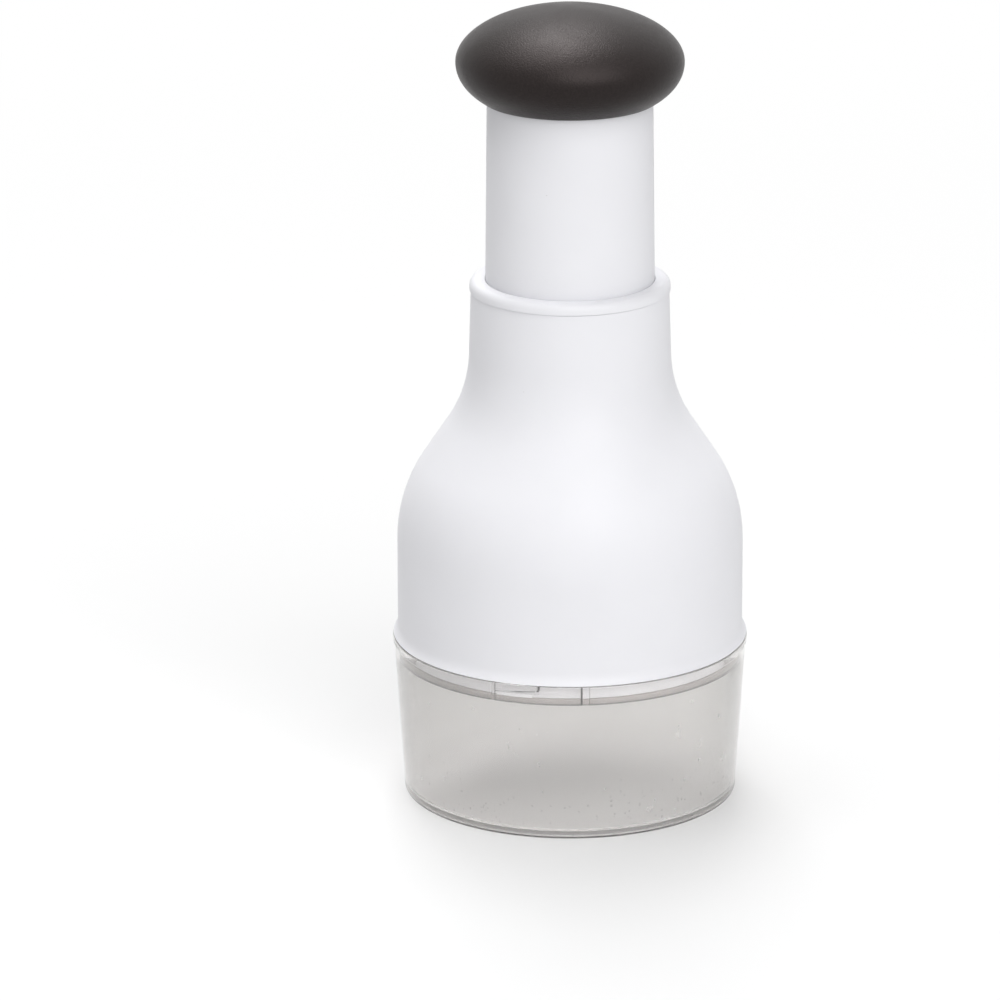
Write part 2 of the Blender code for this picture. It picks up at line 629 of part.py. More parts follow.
def make_collar():
    sleeve_r = HOUSING_R - HOUSING_WALL - SEAT_GAP
    lip_z = COLLAR_Z + COLLAR_LIP_HEIGHT
    outline = [
        (sleeve_r, COLLAR_TOP_Z), (sleeve_r, CUP_HEIGHT), (SKIRT_R, CUP_HEIGHT),
        (SKIRT_R, COLLAR_Z), (COLLAR_BORE_R - COLLAR_LIP_WIDTH, COLLAR_Z),
        (COLLAR_BORE_R - COLLAR_LIP_WIDTH, lip_z), (COLLAR_BORE_R, lip_z),
        (COLLAR_BORE_R, COLLAR_TOP_Z),
    ]
    collar = turned("base_collar", outline, LARGE_ROUND_STEPS, WHITE)
    lug_r = STOP_R - RUNNING_GAP
    lug_top = CUP_HEIGHT - CUP_LUG_DROP - RUNNING_GAP
    for index, angle in enumerate(lock_angles()):
        lug = extruded(f"collar_lug_{index + 1}",
                       sector(SKIRT_R - BITE, lug_r, angle + LOCK_PLAY, COLLAR_LUG_SPAN),
                       COLLAR_Z, lug_top)
        combine(collar, lug, "UNION")
    hook_z = WIPER_TOP_Z + RUNNING_GAP
    for index, angle in enumerate(around(HOOK_COUNT)):
        hook = extruded(f"collar_hook_{index + 1}",
                        sector(COLLAR_BORE_R - HOOK_DEPTH, COLLAR_BORE_R + BITE, angle, HOOK_SPAN),
                        hook_z, hook_z + HOOK_HEIGHT)
        combine(collar, hook, "UNION")
    return [collar]


def make_wiper():
    outline = [(0, WIPER_TOP_Z), (WIPER_R, WIPER_TOP_Z), (WIPER_R, WIPER_Z), (0, WIPER_Z)]
    wiper = turned("wiper_disc", outline, LARGE_ROUND_STEPS, WHITE)
    lips = extruded("wiper_lips", blade_band(WIPER_SLOT + WIPER_LIP_WALL,
                                             WIPER_LIP_WALL + WIPER_SLOT_PLAY),
                    WIPER_TOP_Z - BITE, WIPER_LIP_Z)
    slot = extruded("wiper_slot", blade_band(WIPER_SLOT, WIPER_SLOT_PLAY),
                    WIPER_Z - OVERRUN, WIPER_LIP_Z + OVERRUN)
    combine(wiper, lips, "UNION")
    combine(wiper, slot, "DIFFERENCE")
    return [wiper]


def make_blade():
    """The strip's section swept along the zigzag: flat sides, and a bevel down to the edge."""
    path = bpy.data.curves.new("blade", "CURVE")
    path.dimensions = "3D"
    points = blade_path()
    spline = path.splines.new("POLY")
    spline.points.add(len(points) - 1)
    for point, (x, y, heading) in zip(spline.points, points):
        point.co = (x, y, 0, 1)
    section = bpy.data.curves.new("blade_section", "CURVE")
    section.dimensions = "2D"
    half = BLADE_THICKNESS / 2
    edge = BLADE_EDGE_THICKNESS / 2
    bevel_z = BLADE_Z + BLADE_BEVEL_HEIGHT
    corners = [(-edge, BLADE_Z), (edge, BLADE_Z), (half, bevel_z), (half, BLADE_TOP_Z),
               (-half, BLADE_TOP_Z), (-half, bevel_z)]
    outline = section.splines.new("POLY")
    outline.points.add(len(corners) - 1)
    for point, (x, y) in zip(outline.points, corners):
        point.co = (x, y, 0, 1)
    outline.use_cyclic_u = True
    guide = bpy.data.objects.new("blade_section", section)
    guides.objects.link(guide)
    path.bevel_mode = "OBJECT"
    path.bevel_object = guide
    path.use_fill_caps = True
    strip = bpy.data.objects.new("blade_path", path)
    guides.objects.link(strip)
    mesh = evaluated_mesh(strip)
    shade_round(mesh)
    for helper in (strip, guide):
        bpy.data.objects.remove(helper, do_unlink=True)
    return [place("blade", mesh, STEEL)]


def make_hub():
    radius = hub_r()
    outline = [(0, BULKHEAD_TOP_Z), (HUB_BOSS_R, BULKHEAD_TOP_Z), (HUB_BOSS_R, HUB_TOP_Z),
               (radius, HUB_TOP_Z), (radius, HUB_PLATE_Z), (0, HUB_PLATE_Z)]
    hub = turned("blade_hub", outline, LARGE_ROUND_STEPS, WHITE)
    slot = BLADE_THICKNESS / 2 + SEAT_GAP
    rib = extruded("hub_rib", blade_band(slot + HUB_RIB_WALL, SEAT_GAP + HUB_RIB_WALL),
                   HUB_Z, HUB_PLATE_Z + BITE)
    cut = extruded("hub_slot", blade_band(slot, SEAT_GAP), HUB_Z - OVERRUN, HUB_TOP_Z - HUB_ROOF)
    socket = cylinder("hub_socket", SHAFT_SOCKET_R + SEAT_GAP / math.cos(math.pi / 6),
                      SHAFT_SOCKET_Z - SEAT_GAP + HUB_ROOF, BULKHEAD_TOP_Z + OVERRUN, steps=6)
    hole = cylinder("hub_hole", SCREW_BORE_R, HUB_Z - OVERRUN, BULKHEAD_TOP_Z)
    combine(hub, socket, "DIFFERENCE")
    combine(hub, hole, "DIFFERENCE")
    combine(hub, rib, "UNION")
    combine(hub, cut, "DIFFERENCE")
    return [hub]


def make_housing():
    flare_angle = 2 * math.atan(FLARE_OUT / FLARE_HEIGHT)
    flare_arc = FLARE_HEIGHT / math.sin(flare_angle)
    flare_z = HOUSING_Z + FLARE_HEIGHT
    flare = []
    for step in range(FLARE_STEPS + 1):
        angle = flare_angle * (1 - step / FLARE_STEPS)
        flare.append((HOUSING_R + flare_arc * (1 - math.cos(angle)),
                      flare_z - flare_arc * math.sin(angle)))
    outer = [(0, HOUSING_Z)] + flare + bell_curve(0, OUTER_ARC_STEPS)
    outer += [(NECK_TOP_R, NECK_TOP_Z), (0, NECK_TOP_Z)]
    housing = turned("housing_shell", outer, LARGE_ROUND_STEPS, WHITE)
    bore_r = HOUSING_R - HOUSING_WALL
    socket_z = RING_Z - RING_SKIRT_DEPTH - SEAT_GAP
    inner = [(0, HOUSING_Z - OVERRUN), (bore_r, HOUSING_Z - OVERRUN), (bore_r, STEP_Z),
             (bore_r - STEP_WIDTH, STEP_Z), (bore_r - STEP_WIDTH, STEP_Z + STEP_HEIGHT),
             (bore_r, STEP_Z + STEP_HEIGHT + STEP_WIDTH)]
    inner += bell_curve(HOUSING_WALL)
    inner += [(NECK_TOP_R - HOUSING_WALL, socket_z), (NECK_SOCKET_R, socket_z),
              (NECK_SOCKET_R, NECK_TOP_Z + OVERRUN), (0, NECK_TOP_Z + OVERRUN)]
    cavity = turned("housing_cavity", inner, LARGE_ROUND_STEPS)
    waist_z = bell_curve(0)[-1][1]
    for index, (x, y) in enumerate(post_places()):
        post = cylinder(f"housing_post_{index + 1}", POST_R, BULKHEAD_TOP_Z + SEAT_GAP, waist_z, x, y,
                        FINE_ROUND_STEPS)
        combine(cavity, post, "DIFFERENCE")
    combine(housing, cavity, "DIFFERENCE")
    for index, (x, y) in enumerate(post_places()):
        bore = cylinder(f"post_bore_{index + 1}", SCREW_BORE_R, BULKHEAD_TOP_Z,
                        BULKHEAD_TOP_Z + SEAT_GAP + TOWER_SCREW_REACH + BORE_SPARE, x, y)
        combine(housing, bore, "DIFFERENCE")
    return [housing]


def make_tower():
    rib_top = BULKHEAD_TOP_Z + TOWER_RIB_HEIGHT
    bead_z = NUT_Z + NUT_FLANGE_HEIGHT + SEAT_GAP
    outline = [
        (BULKHEAD_BORE_R, BULKHEAD_Z), (BULKHEAD_R, BULKHEAD_Z), (BULKHEAD_R, BULKHEAD_TOP_Z),
        (RIBS_R, BULKHEAD_TOP_Z), (RIBS_R, rib_top), (RIBS_IN_R, rib_top), (RIBS_IN_R, BULKHEAD_TOP_Z),
        (TOWER_R, BULKHEAD_TOP_Z), (TOWER_R, TOWER_TOP_Z), (TOWER_BORE_R, TOWER_TOP_Z),
        (TOWER_BORE_R, bead_z + 2 * TOWER_BEAD), (TOWER_BORE_R - TOWER_BEAD, bead_z + TOWER_BEAD),
        (TOWER_BORE_R - TOWER_BEAD, bead_z), (TOWER_BORE_R, bead_z),
        (TOWER_BORE_R, BULKHEAD_TOP_Z), (BULKHEAD_BORE_R, BULKHEAD_TOP_Z),
    ]
    tower = turned("guide_tower", outline, SMALL_ROUND_STEPS, WHITE)
    rib_out_r = radius_at(bell_curve(HOUSING_WALL), rib_top) - TOWER_RIB_GAP
    for index, angle in enumerate(around(TOWER_RIB_COUNT)):
        rib = box(f"tower_rib_{index + 1}",
                  (RIBS_R - TOWER_RIB_WIDTH / 2, -TOWER_RIB_WIDTH / 2, BULKHEAD_TOP_Z - BITE),
                  (rib_out_r, TOWER_RIB_WIDTH / 2, rib_top - BITE), angle)
        combine(tower, rib, "UNION")
    for index, angle in enumerate(around(NUT_KEY_COUNT)):
        key = box(f"tower_key_{index + 1}",
                  (TOWER_BORE_R - NUT_KEY_DEPTH, -NUT_KEY_WIDTH / 2, BULKHEAD_TOP_Z - BITE),
                  (TOWER_BORE_R + BITE, NUT_KEY_WIDTH / 2, bead_z - SEAT_GAP), angle)
        combine(tower, key, "UNION")
    for index, (x, y) in enumerate(post_places()):
        sink = countersink(f"tower_hole_{index + 1}", SEAT_GAP)
        sink.location = (x, y, 0)
        combine(tower, sink, "DIFFERENCE")
    return [tower]


def countersink(name, clearance):
    """Cutter for a countersunk screw in the bulkhead, drawn on the axis."""
    head_z = BULKHEAD_Z + SCREW_HEAD_RISE
    head_r = SCREW_HEAD_R + clearance
    shank_r = SCREW_R + clearance
    return turned(name, [(0, BULKHEAD_Z - OVERRUN), (head_r, BULKHEAD_Z - OVERRUN),
                         (head_r, head_z), (shank_r, head_z + SCREW_HEAD_R - SCREW_R),
                         (shank_r, BULKHEAD_TOP_Z + OVERRUN), (0, BULKHEAD_TOP_Z + OVERRUN)],
                  FINE_ROUND_STEPS)


def make_tower_screws():
    head_z = BULKHEAD_Z + SCREW_HEAD_RISE
    tip_z = BULKHEAD_TOP_Z + SEAT_GAP + TOWER_SCREW_REACH
    outline = [(0, head_z), (SCREW_HEAD_R, head_z), (SCREW_R, head_z + SCREW_HEAD_R - SCREW_R),
               (SCREW_R, tip_z - SCREW_TIP), (0, tip_z)]
    screws = []
    for index, (x, y) in enumerate(post_places()):
        screw = turned(f"tower_screw_{index + 1}", outline, FINE_ROUND_STEPS, ZINC)
        screw.location = (x, y, 0)
        screws.append(screw)
    return screws


def spline_section(core_r, tip_r, half_width):
    """Plan outline of a round core with straight ribs."""
    points = []
    foot = math.asin(half_width / core_r)
    tip = math.asin(half_width / tip_r)
    for angle in around(SHAFT_RIB_COUNT):
        gap = 2 * math.pi / SHAFT_RIB_COUNT - 2 * foot
        places = [(core_r, angle - foot), (tip_r, angle - tip), (tip_r, angle + tip)]
        places += [(core_r, angle + foot + gap * step / CORE_ARC_STEPS)
                   for step in range(CORE_ARC_STEPS)]
        points += [(r * math.cos(turn), r * math.sin(turn)) for r, turn in places]
    return points


def twisted(name, outline, low, high, levels, looks=None):
    """Raise an outline in steps and turn it as it rises, at the spiral's rate."""
    shape = bmesh.new()
    start = (low - NUT_Z) * TWIST_RATE
    base = []
    for x, y in outline:
        across = x * math.cos(start) - y * math.sin(start)
        along = x * math.sin(start) + y * math.cos(start)
        base.append(shape.verts.new((across, along, low)))
    level = shape.faces.new(base)
    rise = (high - low) / levels
    turn = rise * TWIST_RATE
    for step in range(levels):
        below = level
        made = bmesh.ops.extrude_face_region(shape, geom=[below])
        level = next(item for item in made["geom"] if isinstance(item, bmesh.types.BMFace))
        if step > 0:
            bmesh.ops.delete(shape, geom=[below], context="FACES_ONLY")
        bmesh.ops.translate(shape, vec=(0, 0, rise), verts=level.verts)
        for point in level.verts:
            x, y = point.co.x, point.co.y
            point.co.x = x * math.cos(turn) - y * math.sin(turn)
            point.co.y = x * math.sin(turn) + y * math.cos(turn)
    bmesh.ops.recalc_face_normals(shape, faces=shape.faces)
    mesh = bpy.data.meshes.new(name)
    shape.to_mesh(mesh)
    shape.free()
    shade_round(mesh)
    return place(name, mesh, looks)


def make_nut():
    body_r = SHAFT_RIB_R + RUNNING_GAP + NUT_WALL
    flange_z = NUT_Z + NUT_FLANGE_HEIGHT
    outline = [(0, NUT_TOP_Z), (body_r, NUT_TOP_Z), (body_r, flange_z), (NUT_R, flange_z),
               (NUT_R, NUT_Z), (0, NUT_Z)]
    nut = turned("spiral_nut", outline, SMALL_ROUND_STEPS, ACETAL)
    section = spline_section(SHAFT_CORE_R + RUNNING_GAP, SHAFT_RIB_R + RUNNING_GAP,
                             SHAFT_RIB_WIDTH / 2 + RUNNING_GAP)
    bore = twisted("nut_bore", section, NUT_Z - OVERRUN, NUT_TOP_Z + OVERRUN, 3)
    combine(nut, bore, "DIFFERENCE")
    for index, angle in enumerate(around(NUT_KEY_COUNT)):
        notch = box(f"nut_notch_{index + 1}",
                    (TOWER_BORE_R - NUT_KEY_DEPTH - SEAT_GAP, -NUT_KEY_WIDTH / 2 - SEAT_GAP,
                     NUT_Z - OVERRUN),
                    (TOWER_BORE_R + OVERRUN, NUT_KEY_WIDTH / 2 + SEAT_GAP, flange_z + OVERRUN), angle)
        combine(nut, notch, "DIFFERENCE")
    return [nut]


def make_shaft():
    section = spline_section(SHAFT_CORE_R, SHAFT_RIB_R, SHAFT_RIB_WIDTH / 2)
    shaft = twisted("spiral_shaft", section, NUT_Z, SHAFT_RIBS_TOP_Z, SHAFT_LEVELS, ACETAL)
    outline = [(0, JOURNAL_TOP_Z), (JOURNAL_R, JOURNAL_TOP_Z), (JOURNAL_R, SHAFT_SHOULDER_Z),
               (SHAFT_STEM_R, SHAFT_SHOULDER_Z), (SHAFT_STEM_R, SHAFT_RIBS_TOP_Z - OVERRUN),
               (0, SHAFT_RIBS_TOP_Z - OVERRUN)]
    stem = turned("shaft_stem", outline, SMALL_ROUND_STEPS)
    foot = cylinder("shaft_foot", SHAFT_SOCKET_R, SHAFT_SOCKET_Z + HUB_ROOF, NUT_Z + BITE, steps=6)
    combine(shaft, stem, "UNION")
    combine(shaft, foot, "UNION")
    low_bore = cylinder("shaft_low_bore", SCREW_BORE_R, SHAFT_SOCKET_Z - OVERRUN,
                        SHAFT_SOCKET_Z + AXIS_SCREW_REACH + BORE_SPARE)
    high_bore = cylinder("shaft_high_bore", SCREW_BORE_R,
                         JOURNAL_TOP_Z - AXIS_SCREW_REACH - BORE_SPARE, JOURNAL_TOP_Z + OVERRUN)
    combine(shaft, low_bore, "DIFFERENCE")
    combine(shaft, high_bore, "DIFFERENCE")
    return [shaft]


def pan_screw(name, seat_z, tip_z, looks):
    """Screw on the axis whose head rests against a seat, with its tip on the other side."""
    head_side = 1 if tip_z < seat_z else -1
    head_z = seat_z + head_side * SEAT_GAP
    outline = [(0, head_z + head_side * SCREW_HEAD_HEIGHT),
               (SCREW_HEAD_R, head_z + head_side * SCREW_HEAD_HEIGHT), (SCREW_HEAD_R, head_z),
               (SCREW_R, head_z), (SCREW_R, tip_z + head_side * SCREW_TIP), (0, tip_z)]
    return turned(name, outline, FINE_ROUND_STEPS, looks)


def make_hub_screw():
    return [pan_screw("hub_screw", HUB_PLATE_Z, SHAFT_SOCKET_Z + AXIS_SCREW_REACH, ZINC)]


def make_bearing():
    bore_r = SCREW_BORE_R
    top_z = WASHER_Z + WASHER_THICKNESS
    washer = turned("thrust_washer", [(bore_r, WASHER_Z), (bore_r, top_z), (WASHER_R, top_z),
                                      (WASHER_R, WASHER_Z)], SMALL_ROUND_STEPS, STEEL)
    screw = pan_screw("shaft_screw", top_z, JOURNAL_TOP_Z - AXIS_SCREW_REACH, ZINC)
    return [washer, screw]


def make_sleeve():
    outline = [
        (SLEEVE_TOP_R, PLATE_TOP_Z), (SLEEVE_R, FLANGE_TOP_Z), (FLANGE_R, FLANGE_TOP_Z),
        (FLANGE_R, SLEEVE_Z), (SLEEVE_R - SLEEVE_WALL, SLEEVE_Z), (SLEEVE_END_R, PLATE_Z),
        (GUIDE_R, PLATE_Z), (GUIDE_R, SLEEVE_Z), (GUIDE_BORE_R, SLEEVE_Z),
        (GUIDE_BORE_R, PLATE_Z), (JOURNAL_R + RUNNING_GAP, PLATE_Z),
        (JOURNAL_R + RUNNING_GAP, PLATE_TOP_Z),
    ]
    sleeve = turned("plunger_sleeve", outline, MIDDLE_ROUND_STEPS, WHITE)
    for index, (x, y) in enumerate(knob_screw_places()):
        hole = cylinder(f"sleeve_hole_{index + 1}", SCREW_BORE_R, PLATE_Z - OVERRUN,
                        PLATE_TOP_Z + OVERRUN, x, y)
        combine(sleeve, hole, "DIFFERENCE")
    return [sleeve]


def make_ring():
    outline = rounded([
        (RING_HOLE_R, RING_TOP_Z, RING_HOLE_ROUND),
        (RING_R, RING_TOP_Z, RING_TOP_ROUND),
        (RING_R, RING_Z, RING_EDGE_ROUND),
        (RING_SKIRT_R, RING_Z, 0),
        (RING_SKIRT_R, RING_Z - RING_SKIRT_DEPTH, 0),
        (RING_SKIRT_IN_R, RING_Z - RING_SKIRT_DEPTH, 0),
        (RING_SKIRT_IN_R, RING_Z, 0),
        (RING_HOLE_R, RING_Z, 0),
    ])
    return [turned("neck_collar", outline, MIDDLE_ROUND_STEPS, WHITE)]


def knob_curve(inset, low, steps=HIDDEN_KNOB_STEPS):
    """Outline of the knob from the top down to a height, moved inwards."""
    radius = KNOB_R - inset
    crown = KNOB_CROWN - inset
    belly = KNOB_BELLY - inset
    points = []
    for step in range(steps + 1):
        angle = math.pi / 2 * (1 - step / steps)
        points.append((radius * math.cos(angle) ** (2 / CROWN_POWER),
                       KNOB_WIDEST_Z + crown * math.sin(angle) ** (2 / CROWN_POWER)))
    points[0] = (0, KNOB_WIDEST_Z + crown)
    drop = KNOB_WIDEST_Z - low
    for step in range(1, steps + 1):
        down = drop * math.sin(math.pi / 2 * step / steps)
        points.append((radius * (1 - (down / belly) ** BELLY_POWER) ** (1 / BELLY_POWER),
                       KNOB_WIDEST_Z - down))
    return points


def make_grip():
    lip_z = KNOB_Z + GRIP_LIP_HEIGHT
    outline = knob_curve(0, KNOB_Z, KNOB_STEPS) + [(GRIP_BORE_R, KNOB_Z), (GRIP_BORE_R, lip_z)]
    outline += knob_curve(GRIP_THICKNESS, lip_z)[::-1]
    return [turned("knob_grip", outline, MIDDLE_ROUND_STEPS, RUBBER)]


def make_core():
    inset = GRIP_THICKNESS + SEAT_GAP
    bottom_z = KNOB_Z + GRIP_LIP_HEIGHT + SEAT_GAP
    seat_z = PLATE_TOP_Z + SEAT_GAP
    recess_r = SLEEVE_TOP_R + SEAT_GAP
    outline = knob_curve(inset, bottom_z)
    outline += [(recess_r, bottom_z), (recess_r, seat_z), (0, seat_z)]
    core = turned("knob_core", outline, MIDDLE_ROUND_STEPS, RESIN)
    pocket_r = WASHER_R + RUNNING_GAP + SEAT_GAP
    pocket_top = seat_z + WASHER_THICKNESS + CORE_RECESS_GAP
    pocket = cylinder("core_pocket", pocket_r, seat_z - OVERRUN, pocket_top, steps=SMALL_ROUND_STEPS)
    hollow_in_r = pocket_r + CORE_TUBE_WALL
    hollow_r = recess_r - CORE_RIM
    dome = [point for point in knob_curve(inset + CORE_WALL, bottom_z) if point[1] >= KNOB_WIDEST_Z]
    hollow_outline = [(hollow_in_r, seat_z - OVERRUN), (hollow_in_r, height_at(dome, hollow_in_r))]
    hollow_outline += [point for point in dome if hollow_in_r < point[0] < hollow_r]
    hollow_outline += [(hollow_r, height_at(dome, hollow_r)), (hollow_r, seat_z - OVERRUN)]
    hollow = turned("core_hollow", hollow_outline, SMALL_ROUND_STEPS)
    for index, (x, y) in enumerate(knob_screw_places()):
        boss = cylinder(f"core_boss_{index + 1}", CORE_BOSS_R, seat_z - 2 * OVERRUN,
                        KNOB_WIDEST_Z + KNOB_CROWN, x, y)
        combine(hollow, boss, "DIFFERENCE")
    for index, angle in enumerate(around(CORE_RIB_COUNT)):
        rib = box(f"core_rib_{index + 1}", (pocket_r, -CORE_RIB_WIDTH / 2, seat_z - 2 * OVERRUN),
                  (hollow_r + OVERRUN, CORE_RIB_WIDTH / 2, KNOB_WIDEST_Z + KNOB_CROWN), angle)
        combine(hollow, rib, "DIFFERENCE")
    combine(core, hollow, "DIFFERENCE")
    combine(core, pocket, "DIFFERENCE")
    for index, (x, y) in enumerate(knob_screw_places()):
        bore = cylinder(f"core_bore_{index + 1}", SCREW_BORE_R, seat_z - OVERRUN,
                        seat_z + KNOB_SCREW_REACH + BORE_SPARE, x, y)
        combine(core, bore, "DIFFERENCE")
    return [core]


def make_knob_screws():
    screws = []
    tip_z = PLATE_TOP_Z + SEAT_GAP + KNOB_SCREW_REACH
    for index, (x, y) in enumerate(knob_screw_places()):
        screw = pan_screw(f"knob_screw_{index + 1}", PLATE_Z, tip_z, ZINC)
        screw.location = (x, y, 0)
        screws.append(screw)
    return screws


def spring_points():
    """Centre line of the spring: a closed turn at each end, and open turns between."""
    low = BULKHEAD_TOP_Z + SEAT_GAP + WIRE / 2
    high = PLATE_Z - SEAT_GAP - WIRE / 2
    open_rise = (high - low - 2 * SPRING_END_PITCH) / (SPRING_TURNS - 2)
    radius = 2 * SPRING_R / (1 + math.cos(math.pi / TURN_POINTS))
    points = []
    for index in range(SPRING_TURNS * TURN_POINTS + 1):
        turns = index / TURN_POINTS
        if turns <= 1:
            up = low + SPRING_END_PITCH * turns
        elif turns >= SPRING_TURNS - 1:
            up = high - SPRING_END_PITCH * (SPRING_TURNS - turns)
        else:
            up = low + SPRING_END_PITCH + open_rise * (turns - 1)
        angle = 2 * math.pi * turns
        points.append((radius * math.cos(angle), radius * math.sin(angle), up))
    return points


def least_gap(points, diameter):
    """Least clear distance between turns of a wire, from point to point."""
    least = math.inf
    for first in range(len(points)):
        for second in range(first + TURN_POINTS // 2, len(points)):
            least = min(least, math.dist(points[first], points[second]))
    return least - diameter


def make_spring():
    points = spring_points()
    curve = bpy.data.curves.new("return_spring", "CURVE")
    curve.dimensions = "3D"
    curve.bevel_depth = WIRE / 2
    curve.bevel_resolution = 1
    curve.use_fill_caps = True
    spline = curve.splines.new("POLY")
    spline.points.add(len(points) - 1)
    for point, (x, y, z) in zip(spline.points, points):
        point.co = (x, y, z, 1)
    spring = bpy.data.objects.new("return_spring", curve)
    curve.materials.append(STEEL)
    parts.objects.link(spring)
    print("spring's least gap to itself in mm:", round(least_gap(points, WIRE) / MM, 2))
    return [spring]


def hang(pieces, name, up):
    """Parent pieces to an empty on the axis of the joint that moves them."""
    axis = bpy.data.objects.new(name, None)
    axis.location.z = up
    axis.empty_display_size = CUP_BASE_R
    parts.objects.link(axis)
    for piece in pieces:
        piece.parent = axis
        piece.location.z -= up


remove_everything()
parts = new_collection("food_chopper")
guides = new_collection("cutters")

CLEAR = finish("clear_plastic", (0.85, 0.87, 0.87), 0.25, alpha=0.35)
SILICONE = finish("silicone", (0.62, 0.61, 0.60), 0.5)
WHITE = finish("white_plastic", (0.82, 0.82, 0.84), 0.38)
RUBBER = finish("soft_grip", (0.042, 0.038, 0.036), 0.62)
RESIN = finish("core_plastic", (0.10, 0.10, 0.10), 0.5)
STEEL = finish("stainless_steel", (0.72, 0.72, 0.73), 0.25, metallic=1.0)
ZINC = finish("screw_zinc", (0.60, 0.60, 0.58), 0.4, metallic=1.0)
ACETAL = finish("acetal", (0.78, 0.78, 0.74), 0.35)

make_cup()
hang(make_seal(), "cup_twist_axis", SEAL_Z)
hang(make_collar() + make_housing() + make_tower() + make_tower_screws() + make_nut() + make_ring(),
     "lift_off_axis", HOUSING_Z)
hang(make_wiper(), "wiper_spin_axis", WIPER_Z)
hang(make_sleeve() + make_grip() + make_core() + make_knob_screws() + make_spring(),
     "plunger_press_axis", SLEEVE_Z)
hang(make_shaft() + make_hub() + make_hub_screw() + make_blade() + make_bearing(),
     "blade_spin_axis", SHAFT_SOCKET_Z)
print("stroke in mm:", round(STROKE / MM, 2))
print("twist to free the cup in degrees:", round(math.degrees(LOCK_TURN), 2))
print("whole height in mm:", round((KNOB_WIDEST_Z + KNOB_CROWN) / MM, 2))
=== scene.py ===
"""Hand press food chopper: fine surfaces, finishes and studio around the packed frame.

Every piece is made about the chopper's axis, which is the Z axis, in metres. It takes the place of the
frame's node that does the same work, and rides on that node's body.
"""
import math

import bmesh
import bpy
from bpy.props import FloatProperty, FloatVectorProperty, IntProperty, PointerProperty
from bpy.types import Operator, Panel, PropertyGroup
from mathutils import Matrix, Vector


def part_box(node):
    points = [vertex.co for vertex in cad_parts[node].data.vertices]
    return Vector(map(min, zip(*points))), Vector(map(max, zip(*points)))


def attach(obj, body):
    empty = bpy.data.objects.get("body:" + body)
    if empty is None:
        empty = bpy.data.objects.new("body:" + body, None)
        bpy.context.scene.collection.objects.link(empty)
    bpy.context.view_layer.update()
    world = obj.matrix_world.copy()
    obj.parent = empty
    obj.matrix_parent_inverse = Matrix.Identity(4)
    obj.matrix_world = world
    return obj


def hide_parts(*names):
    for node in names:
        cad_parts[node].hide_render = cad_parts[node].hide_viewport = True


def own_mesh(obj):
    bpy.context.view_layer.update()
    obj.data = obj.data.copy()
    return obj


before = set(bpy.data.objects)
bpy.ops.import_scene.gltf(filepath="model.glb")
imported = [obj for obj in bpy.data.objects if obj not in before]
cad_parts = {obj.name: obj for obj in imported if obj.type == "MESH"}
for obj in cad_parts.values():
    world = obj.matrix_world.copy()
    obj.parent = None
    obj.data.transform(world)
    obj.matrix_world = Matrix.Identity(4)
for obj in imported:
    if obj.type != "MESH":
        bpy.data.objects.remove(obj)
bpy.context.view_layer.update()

bl_info = {
    "name": "Food chopper",
    "version": (1, 0, 0),
    "blender": (4, 5, 0),
    "location": "3D View > Sidebar > Chopper",
    "description": "Builds a hand press food chopper with its finishes and a studio",
    "category": "Object",
}

MM = 0.001

GAP = 0.3 * MM              # clear distance between pieces, as in the frame
BITE = 0.4 * MM             # how far a joined shape reaches into its carrier
OVERRUN = 1.0 * MM          # how far a cutter passes the face it cuts
MERGE = MM / 1000           # points nearer than this become one
CRISP_EDGE = 0.2 * MM       # roundings that moulding leaves on edges
EDGE = 0.3 * MM
FULL_EDGE = 0.5 * MM
SCREW_BORE_R = 1.7 * MM
ROUND_STEPS = 160           # sides of the large turned pieces
SMALL_STEPS = 64            # sides of the posts inside
SCREW_STEPS = 32            # sides of the screws' bores
CORNER_STEPS = 5            # steps in the rounding of an edge
ARC_STEPS = 28              # steps in each of the bell's two arcs
FLARE_STEPS = 8
BEND_STEPS = 14             # steps in each bend of the blade
KNOB_STEPS = 40             # steps in each half of the knob's outline
COIL_STEPS = 36             # steps in each turn of the spring
CREASE = math.radians(35)   # edges that turn by more than this are drawn sharp
FRONT = -math.pi / 2        # direction of the camera in plan


def length(title, about, millimetres):
    return FloatProperty(name=title, description=about, default=millimetres * MM, unit="LENGTH",
                         precision=5)


def turn(title, about, default):
    return FloatProperty(name=title, description=about, default=math.radians(default), unit="ROTATION")


def colour(title, about, default):
    return FloatVectorProperty(name=title, description=about, default=default, size=3, min=0, max=1,
                               subtype="COLOR")


def bottom(node):
    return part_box(node)[0].z


def top(node):
    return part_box(node)[1].z


def levels(node):
    return bottom(node), top(node)


def reach(node):
    """Outer radius of a round node."""
    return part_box(node)[1].x


